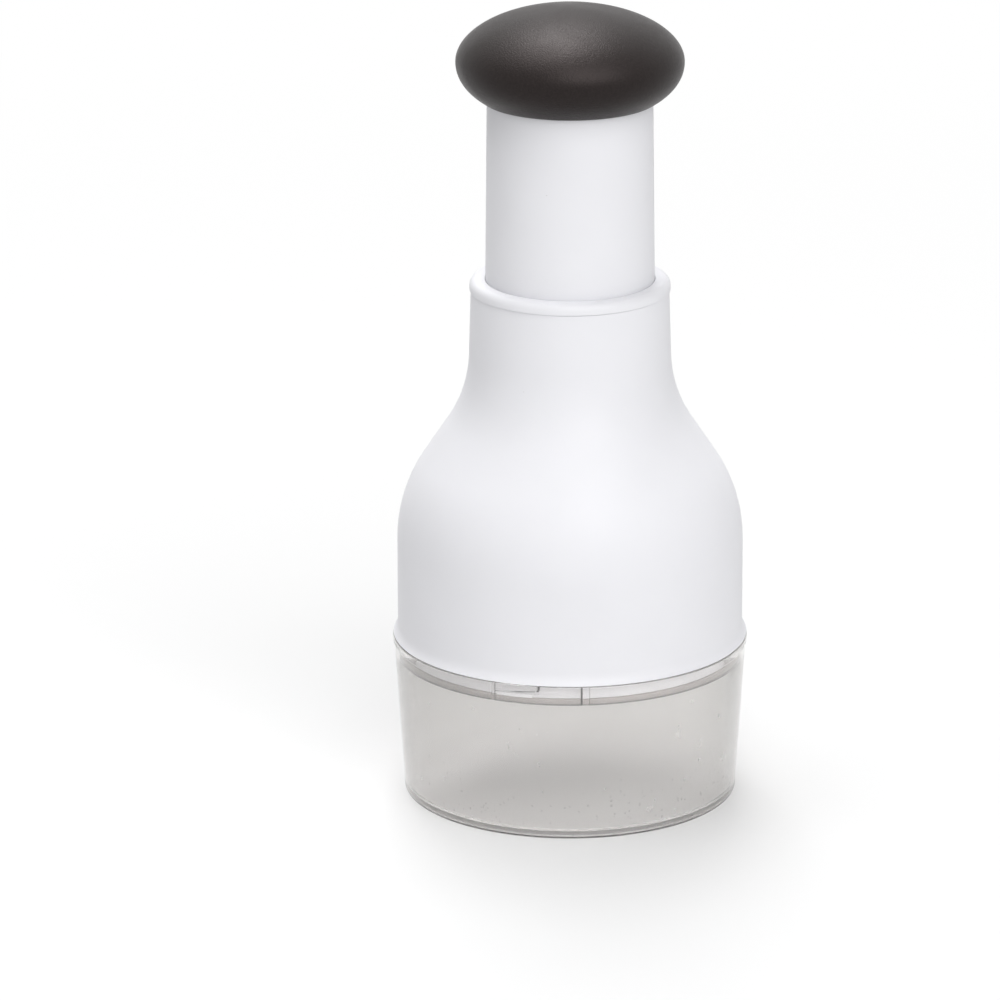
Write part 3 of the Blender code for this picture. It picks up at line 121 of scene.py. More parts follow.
class CupSizes(PropertyGroup):
    """Clear cup and its twist lock"""
    taper: turn("Taper", "Lean of the wall from the base outwards", 3.75)
    wall: length("Wall", "Thickness of the wall at the floor", 2.3)
    floor: length("Floor", "Thickness of the floor", 1.3)
    corner: length("Corner", "Inner rounding between floor and wall", 1.6)
    base_round: length("Base rounding", "Rounding of the outer lower edge", 0.7)
    foot: length("Foot", "Height of the ring that the cup stands on", 0.5)
    foot_width: length("Foot width", "Width of the ring that the cup stands on", 3.2)
    bead: length("Bead", "How far the rim's bead stands out", 0.25)
    bead_height: length("Bead height", "Height of the rim's bead", 2.3)
    band_wall: length("Band wall", "Thickness of the clear band above the ledge", 1.65)
    ledge_drop: length("Ledge drop", "Depth of the ledge below the rim", 5.8)
    ledge_width: length("Ledge width", "Width of the ledge that carries the seal", 2.2)
    locks: IntProperty(name="Locks", description="Number of lugs around the rim", default=3, min=1)
    lock_start: turn("Lock start", "Closed end of the first lug, from the front", -25.4)
    lug_span: turn("Lug span", "Length of each lug around the rim", 15.1)
    entry_span: turn("Entry span", "Free way between a lug and the next stop", 14.1)
    twist: turn("Twist", "How far the cup turns to come free", 16.0)


class HousingSizes(PropertyGroup):
    """Bell-shaped housing"""
    wall: length("Wall", "Thickness of the shell", 2.0)
    radius: length("Radius", "Radius of the bell above its flare", 49.9)
    flare: length("Flare", "How far the lower edge flares out", 1.3)
    flare_height: length("Flare height", "Height of the flare", 3.4)
    shoulder: length("Shoulder", "Height at which the shoulder starts", 75.3)
    shoulder_arc: length("Shoulder arc", "Radius of the outward curve", 43.8)
    waist_arc: length("Waist arc", "Radius of the inward curve under the neck", 39.3)
    slope: length("Slope", "Straight stretch between the two curves", 12.8)
    neck: length("Neck", "Radius where the neck starts", 28.95)
    draft: length("Draft", "How much the neck narrows on its way up", 0.55)


class PlungerSizes(PropertyGroup):
    """Tube, knob and ring that guides the tube"""
    draft: length("Draft", "How much the tube narrows on its way up", 0.65)
    wall: length("Wall", "Thickness of the tube", 1.6)
    ring_play: length("Ring play", "Free space between the tube and its ring", 0.12)
    grip_play: length("Grip play", "Free space between the tube and the knob's cover", 0.45)
    ring_seam: length("Ring seam", "Gap between the ring and the edge of the neck", 0.14)
    ring_top_round: length("Ring's top rounding", "Rounding of the ring's outer top edge", 2.0)
    ring_hole_round: length("Ring's bore rounding", "Rounding of the ring's inner top edge", 0.25)
    crown: length("Crown", "Knob's height above its widest level", 15.5)
    crown_power: FloatProperty(name="Crown power", description="Fullness of the knob's upper curve",
                               default=1.95, min=1)
    belly_power: FloatProperty(name="Belly power", description="Fullness of the knob's lower curve",
                               default=2.1, min=1)
    foot: length("Foot", "Flat of the knob's underside beside the tube", 0.86)
    grip: length("Grip", "Thickness of the knob's soft cover", 1.8)
    turns: IntProperty(name="Turns", description="Turns of the return spring", default=10, min=4)
    wire: length("Wire", "Thickness of the spring's wire", 1.6)


class BladeSizes(PropertyGroup):
    """Zigzag blade with its hub and wiper"""
    thickness: length("Thickness", "Thickness of the strip", 0.5)
    edge: length("Edge", "Thickness left at the cutting edge", 0.12)
    bevel: length("Bevel", "Height of the ground bevel", 1.3)
    bend: length("Bend", "Radius of the strip's bends", 2.2)
    bends: IntProperty(name="Bends", description="Number of bends in the strip", default=5, min=3)
    end_share: FloatProperty(name="Ends", description="Free ends, in spaces between bends", default=1.4)
    end_inset: length("End inset", "Free ends, inside the circle of the bends", 1.4)
    rim: length("Rim", "Hub beyond the blade", 2.0)
    slot_play: length("Slot play", "Space beside the blade in the wiper's slot", 0.4)
    lip: length("Lip", "Wall of the wiper's raised lips", 1.0)


class Finishes(PropertyGroup):
    """Colours of the finishes"""
    white: colour("White plastic", "Housing, tube, ring and discs", (0.84, 0.84, 0.87))
    grip: colour("Soft grip", "Knob's soft cover", (0.0115, 0.0093, 0.0088))
    core: colour("Knob core", "Hard plastic under the soft cover", (0.10, 0.10, 0.10))
    clear: colour("Clear plastic", "Cup", (0.95, 0.94, 0.93))
    seal: colour("Seal", "Silicone ring", (0.33, 0.302, 0.288))
    steel: colour("Steel", "Blade, spring and washer", (0.62, 0.62, 0.63))
    zinc: colour("Zinc", "Screws", (0.56, 0.57, 0.56))
    acetal: colour("Acetal", "Spiral shaft and nut", (0.78, 0.78, 0.73))


class StudioSettings(PropertyGroup):
    """Camera, lamps and floor"""
    aim: length("Aim", "Height that the camera looks at", 100)
    distance: length("Distance", "From the camera to the chopper's axis", 2000)
    elevation: turn("Elevation", "Camera's angle above the horizon", 17.4)
    lens: FloatProperty(name="Lens", description="Focal length in millimetres", default=250)
    shift: FloatVectorProperty(name="Shift", description="Camera's shift across and up", size=2,
                               default=(-0.07005, -0.045))
    ambient: FloatProperty(name="Ambient", description="Strength of the room's light", default=0.12)
    above: FloatProperty(name="Above", description="Power of the lamp overhead, in watts", default=34.0)
    front: FloatProperty(name="Front", description="Power of the lamp in front, in watts", default=81.0)
    back: FloatProperty(name="Back", description="Power of the lamp behind, in watts", default=37.0)
    backdrop: length("Backdrop", "Distance from the chopper at which the floor turns white", 900)
    floor: length("Floor", "Side of the square floor", 12000)


GROUPS = {"cup": CupSizes, "housing": HousingSizes, "plunger": PlungerSizes, "blade": BladeSizes,
          "finish": Finishes, "studio": StudioSettings}


def settings(group):
    return getattr(bpy.context.scene, "chopper_" + group)


# Shapes

def skin(name, rings, loop=False, ends=True):
    """A closed surface through rings of points, with flat ends, or none where it closes by itself."""
    shape = bmesh.new()
    rows = [[shape.verts.new(point) for point in ring] for ring in rings]
    count = len(rows[0])
    pairs = list(zip(rows, rows[1:]))
    if loop:
        pairs.append((rows[-1], rows[0]))
    elif ends:
        shape.faces.new(rows[0])
        shape.faces.new(rows[-1])
    for below, above in pairs:
        for index in range(count):
            after = (index + 1) % count
            shape.faces.new((below[index], below[after], above[after], above[index]))
    bmesh.ops.remove_doubles(shape, verts=shape.verts, dist=MERGE)
    bmesh.ops.recalc_face_normals(shape, faces=shape.faces)
    mesh = bpy.data.meshes.new(name)
    shape.to_mesh(mesh)
    shape.free()
    return show(name, mesh)


def show(name, mesh):
    mesh.shade_smooth()
    mesh.set_sharp_from_angle(angle=CREASE)
    thing = bpy.data.objects.new(name, mesh)
    bpy.context.scene.collection.objects.link(thing)
    return thing


def worked_out(thing, name):
    """The object as a plain mesh, with its modifiers or its curve worked out and double points merged."""
    bpy.context.view_layer.update()
    seen = thing.evaluated_get(bpy.context.evaluated_depsgraph_get())
    mesh = bpy.data.meshes.new_from_object(seen)
    shape = bmesh.new()
    shape.from_mesh(mesh)
    bmesh.ops.remove_doubles(shape, verts=shape.verts, dist=MERGE)
    many_sided = [face for face in shape.faces if len(face.verts) > 4]
    bmesh.ops.triangulate(shape, faces=many_sided, ngon_method="BEAUTY")
    bmesh.ops.dissolve_degenerate(shape, edges=shape.edges, dist=MERGE)
    shape.to_mesh(mesh)
    shape.free()
    made = show(name, mesh)
    made.matrix_world = thing.matrix_world
    return made


def combined(thing, joined, cut=()):
    """Join some shapes to a shape and cut others out of it."""
    tools = [(tool, "UNION") for tool in joined] + [(tool, "DIFFERENCE") for tool in cut]
    for tool, operation in tools:
        change = thing.modifiers.new(tool.name, "BOOLEAN")
        change.operation = operation
        change.object = tool
        change.solver = "EXACT"
    name = thing.name
    thing.name = name + "_before"
    made = worked_out(thing, name)
    for old in [thing] + [tool for tool, operation in tools]:
        bpy.data.objects.remove(old, do_unlink=True)
    return made


def circle(radius, up, steps, start=0.0):
    angles = [start + 2 * math.pi * step / steps for step in range(steps)]
    return [(radius * math.cos(angle), radius * math.sin(angle), up) for angle in angles]


def turned(name, outline):
    """Turn an outline of (radius, height) points about the axis."""
    on_axis = outline[0][0] == 0
    return skin(name, [circle(radius, up, ROUND_STEPS) for radius, up in outline], not on_axis, False)


def rounded(corners):
    """Outline whose corners are (radius from the axis, height, rounding)."""
    points = []
    for index, (across, up, rounding) in enumerate(corners):
        if not rounding:
            points.append((across, up))
            continue
        before = corners[index - 1]
        after = corners[(index + 1) % len(corners)]
        back = math.atan2(before[1] - up, before[0] - across)
        ahead = math.atan2(after[1] - up, after[0] - across)
        opening = (ahead - back + math.pi) % (2 * math.pi) - math.pi
        far = rounding / math.sin(abs(opening) / 2)
        middle = back + opening / 2
        sweep = (math.pi - abs(opening)) * math.copysign(1, opening)
        for step in range(CORNER_STEPS + 1):
            angle = middle + math.pi + sweep / 2 - sweep * step / CORNER_STEPS
            points.append((across + far * math.cos(middle) + rounding * math.cos(angle),
                           up + far * math.sin(middle) + rounding * math.sin(angle)))
    return points


def swept(name, stations, section):
    """Carry a section along stations (x, y, heading). It gives (across, up) points for a share."""
    rings = []
    for index, (x, y, heading) in enumerate(stations):
        points = section(index / (len(stations) - 1))
        rings.append([(x - across * math.sin(heading), y + across * math.cos(heading), up)
                      for across, up in points])
    return skin(name, rings)


def on_ring(name, start, span, inner, outer, low, high, steps=24):
    """A block that follows the wall, from inner to outer radius. Its levels may depend on the share.

    The share is how far along the block a place lies, from 0 to 1.
    """
    angles = [FRONT + start + span * step / steps for step in range(steps + 1)]
    stations = [(0.0, 0.0, angle - math.pi / 2) for angle in angles]

    def section(share):
        below, above = (level(share) if callable(level) else level for level in (low, high))
        return [(inner, below), (outer, below), (outer, above), (inner, above)]

    return swept(name, stations, section)


def post(name, radius, low, high, x=0.0, y=0.0, steps=SMALL_STEPS, start=0.0):
    """An upright post or bore. With no start its sides face the axes, clear of other pieces' points."""
    made = skin(name, [circle(radius, up, steps, start + math.pi / steps) for up in (low, high)])
    made.data.transform(Matrix.Translation((x, y, 0)))
    return made


def around(count, start):
    return [start + 2 * math.pi * index / count for index in range(count)]


def dress(thing, finish):
    thing.data.materials.clear()
    thing.data.materials.append(finish_called(finish))


def settle(thing, body, slot, finish, *nodes):
    """Give a finished piece its material, its body and the nodes that it stands for."""
    dress(thing, finish)
    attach(thing, body)
    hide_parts(*nodes)


# Finishes

class Number:
    """A shader socket that takes part in sums."""

    def __init__(self, nodes, socket):
        self.nodes = nodes
        self.socket = socket

    def maths(self, operation, *values):
        made = self.nodes.add("Math", {index: value for index, value in enumerate(values)},
                              operation=operation)
        return Number(self.nodes, made.outputs[0])

    def __add__(self, other):
        return self.maths("ADD", self, other)

    def __sub__(self, other):
        return self.maths("SUBTRACT", self, other)

    def __rsub__(self, other):
        return self.maths("SUBTRACT", other, self)

    def __mul__(self, other):
        return self.maths("MULTIPLY", self, other)

    def __truediv__(self, other):
        return self.maths("DIVIDE", self, other)

    def __pow__(self, other):
        return self.maths("POWER", self, other)

    def __gt__(self, other):
        return self.maths("GREATER_THAN", self, other)

    def __lt__(self, other):
        return self.maths("LESS_THAN", self, other)

    def most(self, other):
        return self.maths("MAXIMUM", self, other)

    def between(self, low, high):
        """0 below low, 1 above high, with a soft step between them."""
        made = self.nodes.add("MapRange", {"Value": self, "From Min": low, "From Max": high},
                              interpolation_type="SMOOTHSTEP")
        return Number(self.nodes, made.outputs["Result"])

    def close_to(self, middle, width):
        """1 at a value, falling to 0 at this distance from it."""
        return 1 - self.maths("ABSOLUTE", self - middle).between(width / 2, width)

    __radd__ = __add__
    __rmul__ = __mul__


class Nodes:
    """Adds nodes to one tree."""

    def __init__(self, tree):
        self.tree = tree

    def add(self, kind, values=None, **choices):
        """One node: its settings are set first, then its sockets take values or links."""
        made = self.tree.nodes.new("ShaderNode" + kind)
        for name, value in choices.items():
            setattr(made, name, value)
        for socket, value in (values or {}).items():
            self.feed(made.inputs[socket], value)
        return made

    def feed(self, socket, value):
        if isinstance(value, Number):
            value = value.socket
        if isinstance(value, bpy.types.NodeSocket):
            self.tree.links.new(value, socket)
        elif socket.type == "RGBA" and len(value) == 3:
            socket.default_value = (*value, 1.0)
        else:
            socket.default_value = value

    def number(self, kind, output, values, **choices):
        return Number(self, self.add(kind, values, **choices).outputs[output])

    def place(self, stretch=(1, 1, 1)):
        """The piece's own coordinates in metres, stretched along its axes."""
        where = self.add("TexCoord").outputs["Object"]
        if stretch == (1, 1, 1):
            return where
        return self.add("VectorMath", {0: where, 1: stretch}, operation="MULTIPLY").outputs[0]

    def parts(self):
        """Distance from the axis and height."""
        apart = self.add("SeparateXYZ", {0: self.place()})
        x, y, z = (Number(self, output) for output in apart.outputs)
        return (x * x + y * y) ** 0.5, z

    def noise(self, size, detail, stretch=(1, 1, 1), distortion=0.0):
        """Cloudy pattern, from about 0 to 1, whose blots are about this size."""
        return self.number("TexNoise", "Fac", {"Vector": self.place(stretch), "Scale": 1 / size,
                                               "Detail": detail, "Distortion": distortion})

    def spots(self, size, least, most):
        """1 in small round spots, one or none to a cell of this size, and 0 between them."""
        cells = self.add("TexVoronoi", {"Vector": self.place(), "Scale": 1 / size})
        near = Number(self, cells.outputs["Distance"])
        chance = self.number("SeparateColor", 0, {0: cells.outputs["Color"]})
        return (near < chance.between(least, 1.0) * most) * 1.0

    def mixed(self, factor, first, second):
        """One colour going over into another."""
        made = self.add("Mix", {"Factor": factor}, data_type="RGBA")
        for socket, value in ((made.inputs[6], first), (made.inputs[7], second)):
            self.feed(socket, value)
        return made.outputs[2]

    def relief(self, height, depth, strength=1.0, under=None):
        """Raise the surface by a pattern. depth is the real height of its full range."""
        values = {"Height": height, "Distance": depth, "Strength": strength}
        if under is not None:
            values["Normal"] = under
        return self.add("Bump", values).outputs[0]


class Finish(Nodes):
    """A material with one Principled shader."""

    def __init__(self, name, **constants):
        self.made = bpy.data.materials.new(name)
        self.made.use_nodes = True
        super().__init__(self.made.node_tree)
        self.shader = self.tree.nodes["Principled BSDF"]
        for socket, value in constants.items():
            self.put(socket.replace("_", " "), value)

    def put(self, socket, value):
        self.feed(self.shader.inputs[socket], value)


def shaded(colour, factor):
    return tuple(channel * factor for channel in colour)


def white_plastic(name, hue, sparkle=0.012 * MM):
    """Moulded plastic: fine spark texture, faint cloudiness, smudges from hands, a few specks."""
    made = Finish(name, IOR=1.49, Specular_IOR_Level=0.35)
    cloud = made.noise(22 * MM, 3)
    smudge = made.noise(9 * MM, 5, (1, 1, 0.45), 0.6)
    grain = made.noise(0.35 * MM, 3)
    specks = made.spots(6.5 * MM, 0.9, 0.022)
    body = made.mixed(cloud.between(0.35, 0.75), hue, shaded(hue, 0.985))
    body = made.mixed(grain * 0.05, body, shaded(hue, 0.9))
    made.put("Base Color", made.mixed(specks * 0.4, body, (0.35, 0.33, 0.31)))
    made.put("Roughness", smudge.between(0.4, 0.8) * 0.08 + grain * 0.06 + 0.43)
    wave = made.relief(made.noise(14 * MM, 1), 0.02 * MM, 0.5)
    made.put("Normal", made.relief(grain, sparkle, 0.6, wave))
    return made.made


def soft_grip():
    """Soft rubbery cover: mottled grain, dull sheen, dust and palm marks."""
    hue = tuple(settings("finish").grip)
    made = Finish("soft_grip_finish", IOR=1.45, Specular_IOR_Level=0.27, Specular_Tint=(1, 0.86, 0.85))
    made.shader.distribution = "GGX"
    grain = made.noise(0.42 * MM, 2)
    mottle = made.noise(1.1 * MM, 3)
    palm = made.noise(16 * MM, 3, distortion=0.8)
    dust = made.spots(4.2 * MM, 0.86, 0.03)
    lint = made.spots(9.0 * MM, 0.93, 0.02)
    body = made.mixed(grain.between(0.35, 0.7), shaded(hue, 0.78), shaded(hue, 1.25))
    body = made.mixed(mottle.between(0.4, 0.7) * 0.35, body, shaded(hue, 1.5))
    made.put("Base Color", made.mixed(dust * 0.35 + lint * 0.5, body, (0.42, 0.40, 0.38)))
    made.put("Roughness", palm.between(0.35, 0.7) * 0.06 + grain * 0.08 + 0.33)
    soft = made.relief(mottle, 0.03 * MM, 0.4)
    made.put("Normal", made.relief(grain, 0.10 * MM, 1.0, soft))
    return made.made


def knob_core_plastic():
    hue = tuple(settings("finish").core)
    made = Finish("knob_core_finish", IOR=1.5)
    flow = made.noise(3 * MM, 4, (1, 1, 0.2), 1.2)
    made.put("Base Color", made.mixed(flow, shaded(hue, 0.8), shaded(hue, 1.25)))
    made.put("Roughness", flow * 0.15 + 0.42)
    made.put("Normal", made.relief(made.noise(0.4 * MM, 2), 0.01 * MM))
    return made.made


def clear_plastic():
    """Clear shell, frosted on its inner wall under the ledge, with fine droplets towards the floor."""
    sizes = settings("cup")
    hue = tuple(settings("finish").clear)
    made = Finish("clear_plastic_finish", IOR=1.50, Transmission_Weight=0.88)
    radius, up = made.parts()
    lean = math.tan(sizes.taper)
    inside = ((up * lean + cup_base_r(sizes)) - radius) > sizes.wall / 2
    under = up < cup_ledge(sizes) - GAP
    over = up > sizes.foot / 2
    frosted = inside * under * over
    low = 1 - up.between(2 * MM, 26 * MM)
    mist = made.noise(3.5 * MM, 4, (1, 1, 0.6))
    grain = made.noise(0.22 * MM, 2)
    drops = made.spots(1.3 * MM, 0.45, 0.3) * low * mist.between(0.45, 0.65)
    scratch = made.noise(0.5 * MM, 2, (1, 1, 0.06)).between(0.66, 0.76)
    floor_z = sizes.foot + sizes.floor
    low_edge = (1 - up.between(0.8 * floor_z, 2 * floor_z)) * (1 - inside)
    frost = frosted * (mist * 0.16 + 0.20) + low_edge * 0.18
    made.put("Roughness", (frost + scratch * frosted * 0.1 + 0.025).most(drops * 0.05))
    haze_and_painted_shade = made.mixed(frosted, hue, shaded(hue, 0.95))
    haze_and_painted_shade = made.mixed(up > cup_ledge(sizes), haze_and_painted_shade, shaded(hue, 1.04))
    # Painted shade: near-black lines in the base colour where refraction would darken the wall's lugs,
    # stops, ledge and foot.
    haze_and_painted_shade = made.mixed(painted_edge_shade(made, sizes, radius, up), haze_and_painted_shade, (0.003, 0.002, 0.002))
    made.put("Base Color", made.mixed(drops * 0.6, haze_and_painted_shade, shaded(hue, 0.3)))
    rough = made.relief(grain * frosted, 0.015 * MM, 0.6)
    made.put("Normal", made.relief(drops, 0.12 * MM, 0.6, rough))
    smoke = made.add("VolumeAbsorption", {"Color": (0.76, 0.74, 0.71), "Density": 40.0}).outputs[0]
    made.tree.links.new(smoke, made.tree.nodes["Material Output"].inputs["Volume"])
    let_lamps_through(made)
    return made.made


NEAR_LINE = 0.24 * MM       # widths of the painted shade lines that follow, from their middle
STOP_LINE = 0.38 * MM
SIDE_LINE = 0.18 * MM
NOSE_LINE = 0.52 * MM
LEDGE_LINE = 0.16 * MM
FOOT_LINE = 0.3 * MM
FOOT_LINE_Z = 0.55 * MM
NOSE_DROP = 1.1 * MM        # middle of a lug's nose below the rim
NOSE_REACH = 0.9 * MM       # half the height of its line
BAND_SKIN = 0.06 * MM       # how deep the lines of the lock go into the wall


def painted_edge_shade(made, sizes, radius, up):
    """Painted shade: dark lines along a clear wall's lugs, stops, ledge and foot, standing in for the
    shade that refraction makes at these edges.
    """
    band = band_r(sizes)
    rim_z = top("cup")
    x, y, _ = (Number(made, output) for output in made.add("SeparateXYZ", {0: made.place()}).outputs)
    round_to = made.number("Math", 0, {0: x, 1: y * -1}, operation="ARCTAN2") - sizes.lock_start
    spare = STOP_SPAN
    turned_on = round_to + spare
    along = (turned_on.maths("FLOORED_MODULO", turned_on, 2 * math.pi / sizes.locks) - spare) * band
    lug_end = sizes.lug_span * band
    stop = lug_end + sizes.entry_span * band
    stop_end = stop + STOP_SPAN * band
    full = along.close_to(0, NEAR_LINE) * 0.8
    full = full.most(along.close_to(stop, STOP_LINE))
    full = full.most(along.close_to(stop_end, SIDE_LINE) * 0.45)
    slope = along / lug_end * LUG_RISE + (rim_z - LUG_DROP)
    under = (up - slope).close_to(0, SIDE_LINE) * (along < lug_end * 0.93) * (along > 0) * 0.85
    bulge = (up - (rim_z - NOSE_DROP)) / MM
    nose = (along + bulge * bulge * 0.5 * MM).close_to(lug_end, NOSE_LINE)
    nose = nose * (up > rim_z - NOSE_DROP - NOSE_REACH) * (up < rim_z - NOSE_DROP + NOSE_REACH)
    inner = (radius < band + BAND_SKIN) * (up > cup_ledge(sizes) + 0.1 * MM)
    ledge = up.close_to(cup_ledge(sizes), LEDGE_LINE)
    ledge = ledge * (radius > band - sizes.ledge_width) * (radius < band + GAP)
    foot = up.close_to(FOOT_LINE_Z, FOOT_LINE) * (radius > cup_base_r(sizes) - sizes.base_round)
    return (full.most(under).most(nose) * inner).most(ledge * 0.85).most(foot * 0.9)


def let_lamps_through(made):
    """Lamps shine through the clear shell, as they do through the real one."""
    open_way = made.add("BsdfTransparent", {"Color": (0.93, 0.93, 0.94)}).outputs[0]
    lamp_ray = made.add("LightPath").outputs["Is Shadow Ray"]
    both = made.add("MixShader", {0: lamp_ray, 1: made.shader.outputs[0], 2: open_way})
    exit_node = made.tree.nodes["Material Output"]
    made.tree.links.new(both.outputs[0], exit_node.inputs["Surface"])


def silicone():
    hue = tuple(settings("finish").seal)
    made = Finish("silicone_finish", IOR=1.41, Subsurface_Weight=0.35, Subsurface_Scale=0.5 * MM,
                  Subsurface_Radius=(1.0, 0.95, 0.9))
    cloud = made.noise(2.5 * MM, 3)
    dust = made.spots(1.6 * MM, 0.7, 0.06)
    body = made.mixed(cloud, shaded(hue, 0.92), shaded(hue, 1.06))
    made.put("Base Color", made.mixed(dust * 0.5, body, (0.75, 0.74, 0.72)))
    made.put("Roughness", cloud * 0.12 + 0.40)
    made.put("Normal", made.relief(made.noise(0.3 * MM, 2), 0.01 * MM))
    return made.made


def steel(name, stretch, roughness):
    """Steel with fine drawn or ground lines, and faint water spots."""
    hue = tuple(settings("finish").steel)
    made = Finish(name, Metallic=1.0, Anisotropic=0.4)
    lines = made.noise(0.10 * MM, 3, stretch)
    spots = made.noise(5 * MM, 4).between(0.58, 0.75)
    body = made.mixed(lines, shaded(hue, 0.88), shaded(hue, 1.08))
    made.put("Base Color", made.mixed(spots * 0.25, body, shaded(hue, 0.8)))
    made.put("Roughness", lines * 0.12 + spots * 0.10 + roughness)
    made.put("Normal", made.relief(lines, 0.006 * MM, 0.8))
    return made.made


def zinc():
    """Zinc plate with a faint blue and straw bloom."""
    hue = tuple(settings("finish").zinc)
    made = Finish("screw_zinc_finish", Metallic=1.0)
    bloom = made.noise(1.4 * MM, 3)
    grain = made.noise(0.12 * MM, 2)
    body = made.mixed(bloom.between(0.35, 0.65), (hue[0] * 0.92, hue[1] * 0.97, hue[2] * 1.1),
                      (hue[0] * 1.08, hue[1] * 1.02, hue[2] * 0.85))
    made.put("Base Color", made.mixed(grain * 0.3, body, shaded(hue, 0.8)))
    made.put("Roughness", bloom * 0.14 + grain * 0.08 + 0.26)
    made.put("Normal", made.relief(grain, 0.006 * MM))
    return made.made


def acetal():
    """Waxy bearing plastic with rub marks."""
    hue = tuple(settings("finish").acetal)
    made = Finish("acetal_finish", IOR=1.48, Subsurface_Weight=0.2, Subsurface_Scale=0.8 * MM)
    cloud = made.noise(6 * MM, 3)
    rubbed = made.noise(0.25 * MM, 3, (1, 1, 0.12)).between(0.5, 0.75)
    made.put("Base Color", made.mixed(cloud, shaded(hue, 0.97), shaded(hue, 1.02)))
    made.put("Roughness", cloud * 0.06 + rubbed * 0.16 + 0.30)
    made.put("Normal", made.relief(rubbed, 0.006 * MM))
    return made.made


FINISHES = {
    "housing_white": lambda: white_plastic("housing_white", tuple(settings("finish").white)),
    "tube_white": lambda: white_plastic("tube_white", tuple(settings("finish").white), 0.006 * MM),
    "soft_grip_finish": soft_grip,
    "knob_core_finish": knob_core_plastic,
    "clear_plastic_finish": clear_plastic,
    "silicone_finish": silicone,
    "blade_steel": lambda: steel("blade_steel", (0.06, 0.06, 1), 0.17),
    "wire_steel": lambda: steel("wire_steel", (0.1, 0.1, 1), 0.24),
    "screw_zinc_finish": zinc,
    "acetal_finish": acetal,
}


def finish_called(name):
    """The finish of this name, made when a piece first asks for it."""
    return bpy.data.materials.get(name) or FINISHES[name]()


# Cup and its lock

LUG_DEPTH = 0.45 * MM
LUG_TOP_DROP = 0.5 * MM
LUG_DROP = 2.8 * MM
LUG_RISE = 0.9 * MM
STOP_DEPTH = 0.5 * MM
STOP_SPAN = math.radians(2.6)
NEAR_STOP_SPAN = math.radians(1.1)
LOCK_PLAY = math.radians(0.45)
LUG_STEPS = 60
STOP_STEPS = 6
LEDGE_EDGE = 0.35 * MM
RIM_INNER_EDGE = 0.25 * MM
RIM_EDGE = 0.35 * MM
BEAD_EDGE = 0.12 * MM
SEAL_WIDTH = 1.2 * MM
SQUEEZE = 0.06 * MM         # gap that the eye does not see between the seal and its neighbours


def cup_wall_r(sizes):
    return reach("cup") - sizes.bead


def cup_base_r(sizes):
    return cup_wall_r(sizes) - math.tan(sizes.taper) * (top("cup") - sizes.bead_height)


def cup_ledge(sizes):
    return top("cup") - sizes.ledge_drop


def band_r(sizes):
    return cup_wall_r(sizes) - sizes.band_wall


def make_cup(sizes):
    rim_z = top("cup")
    rim_r = reach("cup")
    base_r = cup_base_r(sizes)
    band = band_r(sizes)
    ledge_z = cup_ledge(sizes)
    floor_z = sizes.foot + sizes.floor
    bead_z = rim_z - sizes.bead_height
    foot_r = base_r - sizes.base_round - sizes.foot_width
    outline = rounded([
        (0, floor_z, 0),
        (base_r - sizes.wall + math.tan(sizes.taper) * floor_z, floor_z, sizes.corner),
        (band - sizes.ledge_width, ledge_z, LEDGE_EDGE),
        (band, ledge_z, CRISP_EDGE),
        (band, rim_z, RIM_INNER_EDGE),
        (rim_r, rim_z, RIM_EDGE),
        (rim_r, bead_z + sizes.bead, BEAD_EDGE),
        (cup_wall_r(sizes), bead_z, EDGE),
        (base_r, 0, sizes.base_round),
        (foot_r, 0, EDGE),
        (foot_r - sizes.foot, sizes.foot, EDGE),
        (0, sizes.foot, 0),
    ])
    cup = turned("cup_shell", outline)
    joined = []
    for angle in around(sizes.locks, sizes.lock_start):
        joined.append(cup_lug(sizes, angle))
        far_stop = angle + sizes.lug_span + sizes.entry_span
        for start, span in ((angle - NEAR_STOP_SPAN, NEAR_STOP_SPAN), (far_stop, STOP_SPAN)):
            joined.append(on_ring("cup_stop", start, span, band - STOP_DEPTH, band + 2 * BITE,
                                  ledge_z - BITE, rim_z - LUG_TOP_DROP / 2, STOP_STEPS))
    cup = combined(cup, joined)
    settle(cup, "cup", "clear_plastic", "clear_plastic_finish", "cup")


def cup_lug(sizes, angle):
    """Lug under the rim: its underside climbs towards the entry and ends in a round nose."""
    rim_z = top("cup")
    nose = 0.07             # share of the lug's length
    high = rim_z - LUG_TOP_DROP
    low = rim_z - LUG_DROP

    def underside(share):
        level = low + LUG_RISE * min(share, 1 - nose)
        past = max(0.0, (share - 1 + nose) / nose)
        return level + (high - level) * (1 - math.sqrt(1 - past * past)) * 0.5

    def upper(share):
        past = max(0.0, (share - 1 + nose) / nose)
        return high - (high - low - LUG_RISE) * (1 - math.sqrt(1 - past * past)) * 0.5

    band = band_r(sizes)
    return on_ring("cup_lug", angle - NEAR_STOP_SPAN / 2, sizes.lug_span + NEAR_STOP_SPAN / 2,
                   band - LUG_DEPTH, band + BITE, underside, upper, LUG_STEPS)


def make_seal(sizes):
    low = cup_ledge(sizes) + SQUEEZE
    high = bottom("base_collar") - SQUEEZE
    outer = reach("seal_ring")
    inner = outer - SEAL_WIDTH
    ring = turned("seal", rounded([(outer, low, EDGE), (outer, high, EDGE), (inner, high, EDGE),
                                   (inner, low, EDGE)]))
    settle(ring, "seal", "silicone", "silicone_finish", "seal_ring")


LOCK_SPACE = 1.4 * MM       # from the skirt to the cup's band
SKIRT_WALL = 1.5 * MM
SKIRT_LIP_WIDTH = 1.7 * MM
SKIRT_LIP_HEIGHT = 1.2 * MM
HOOKS = 4
HOOK_SPAN = math.radians(16)
HOOK_DEPTH = 0.9 * MM
HOOK_HEIGHT = 1.3 * MM
HALF_SIDE = math.pi / ROUND_STEPS   # keeps the hooks' ends off the skirt's own points


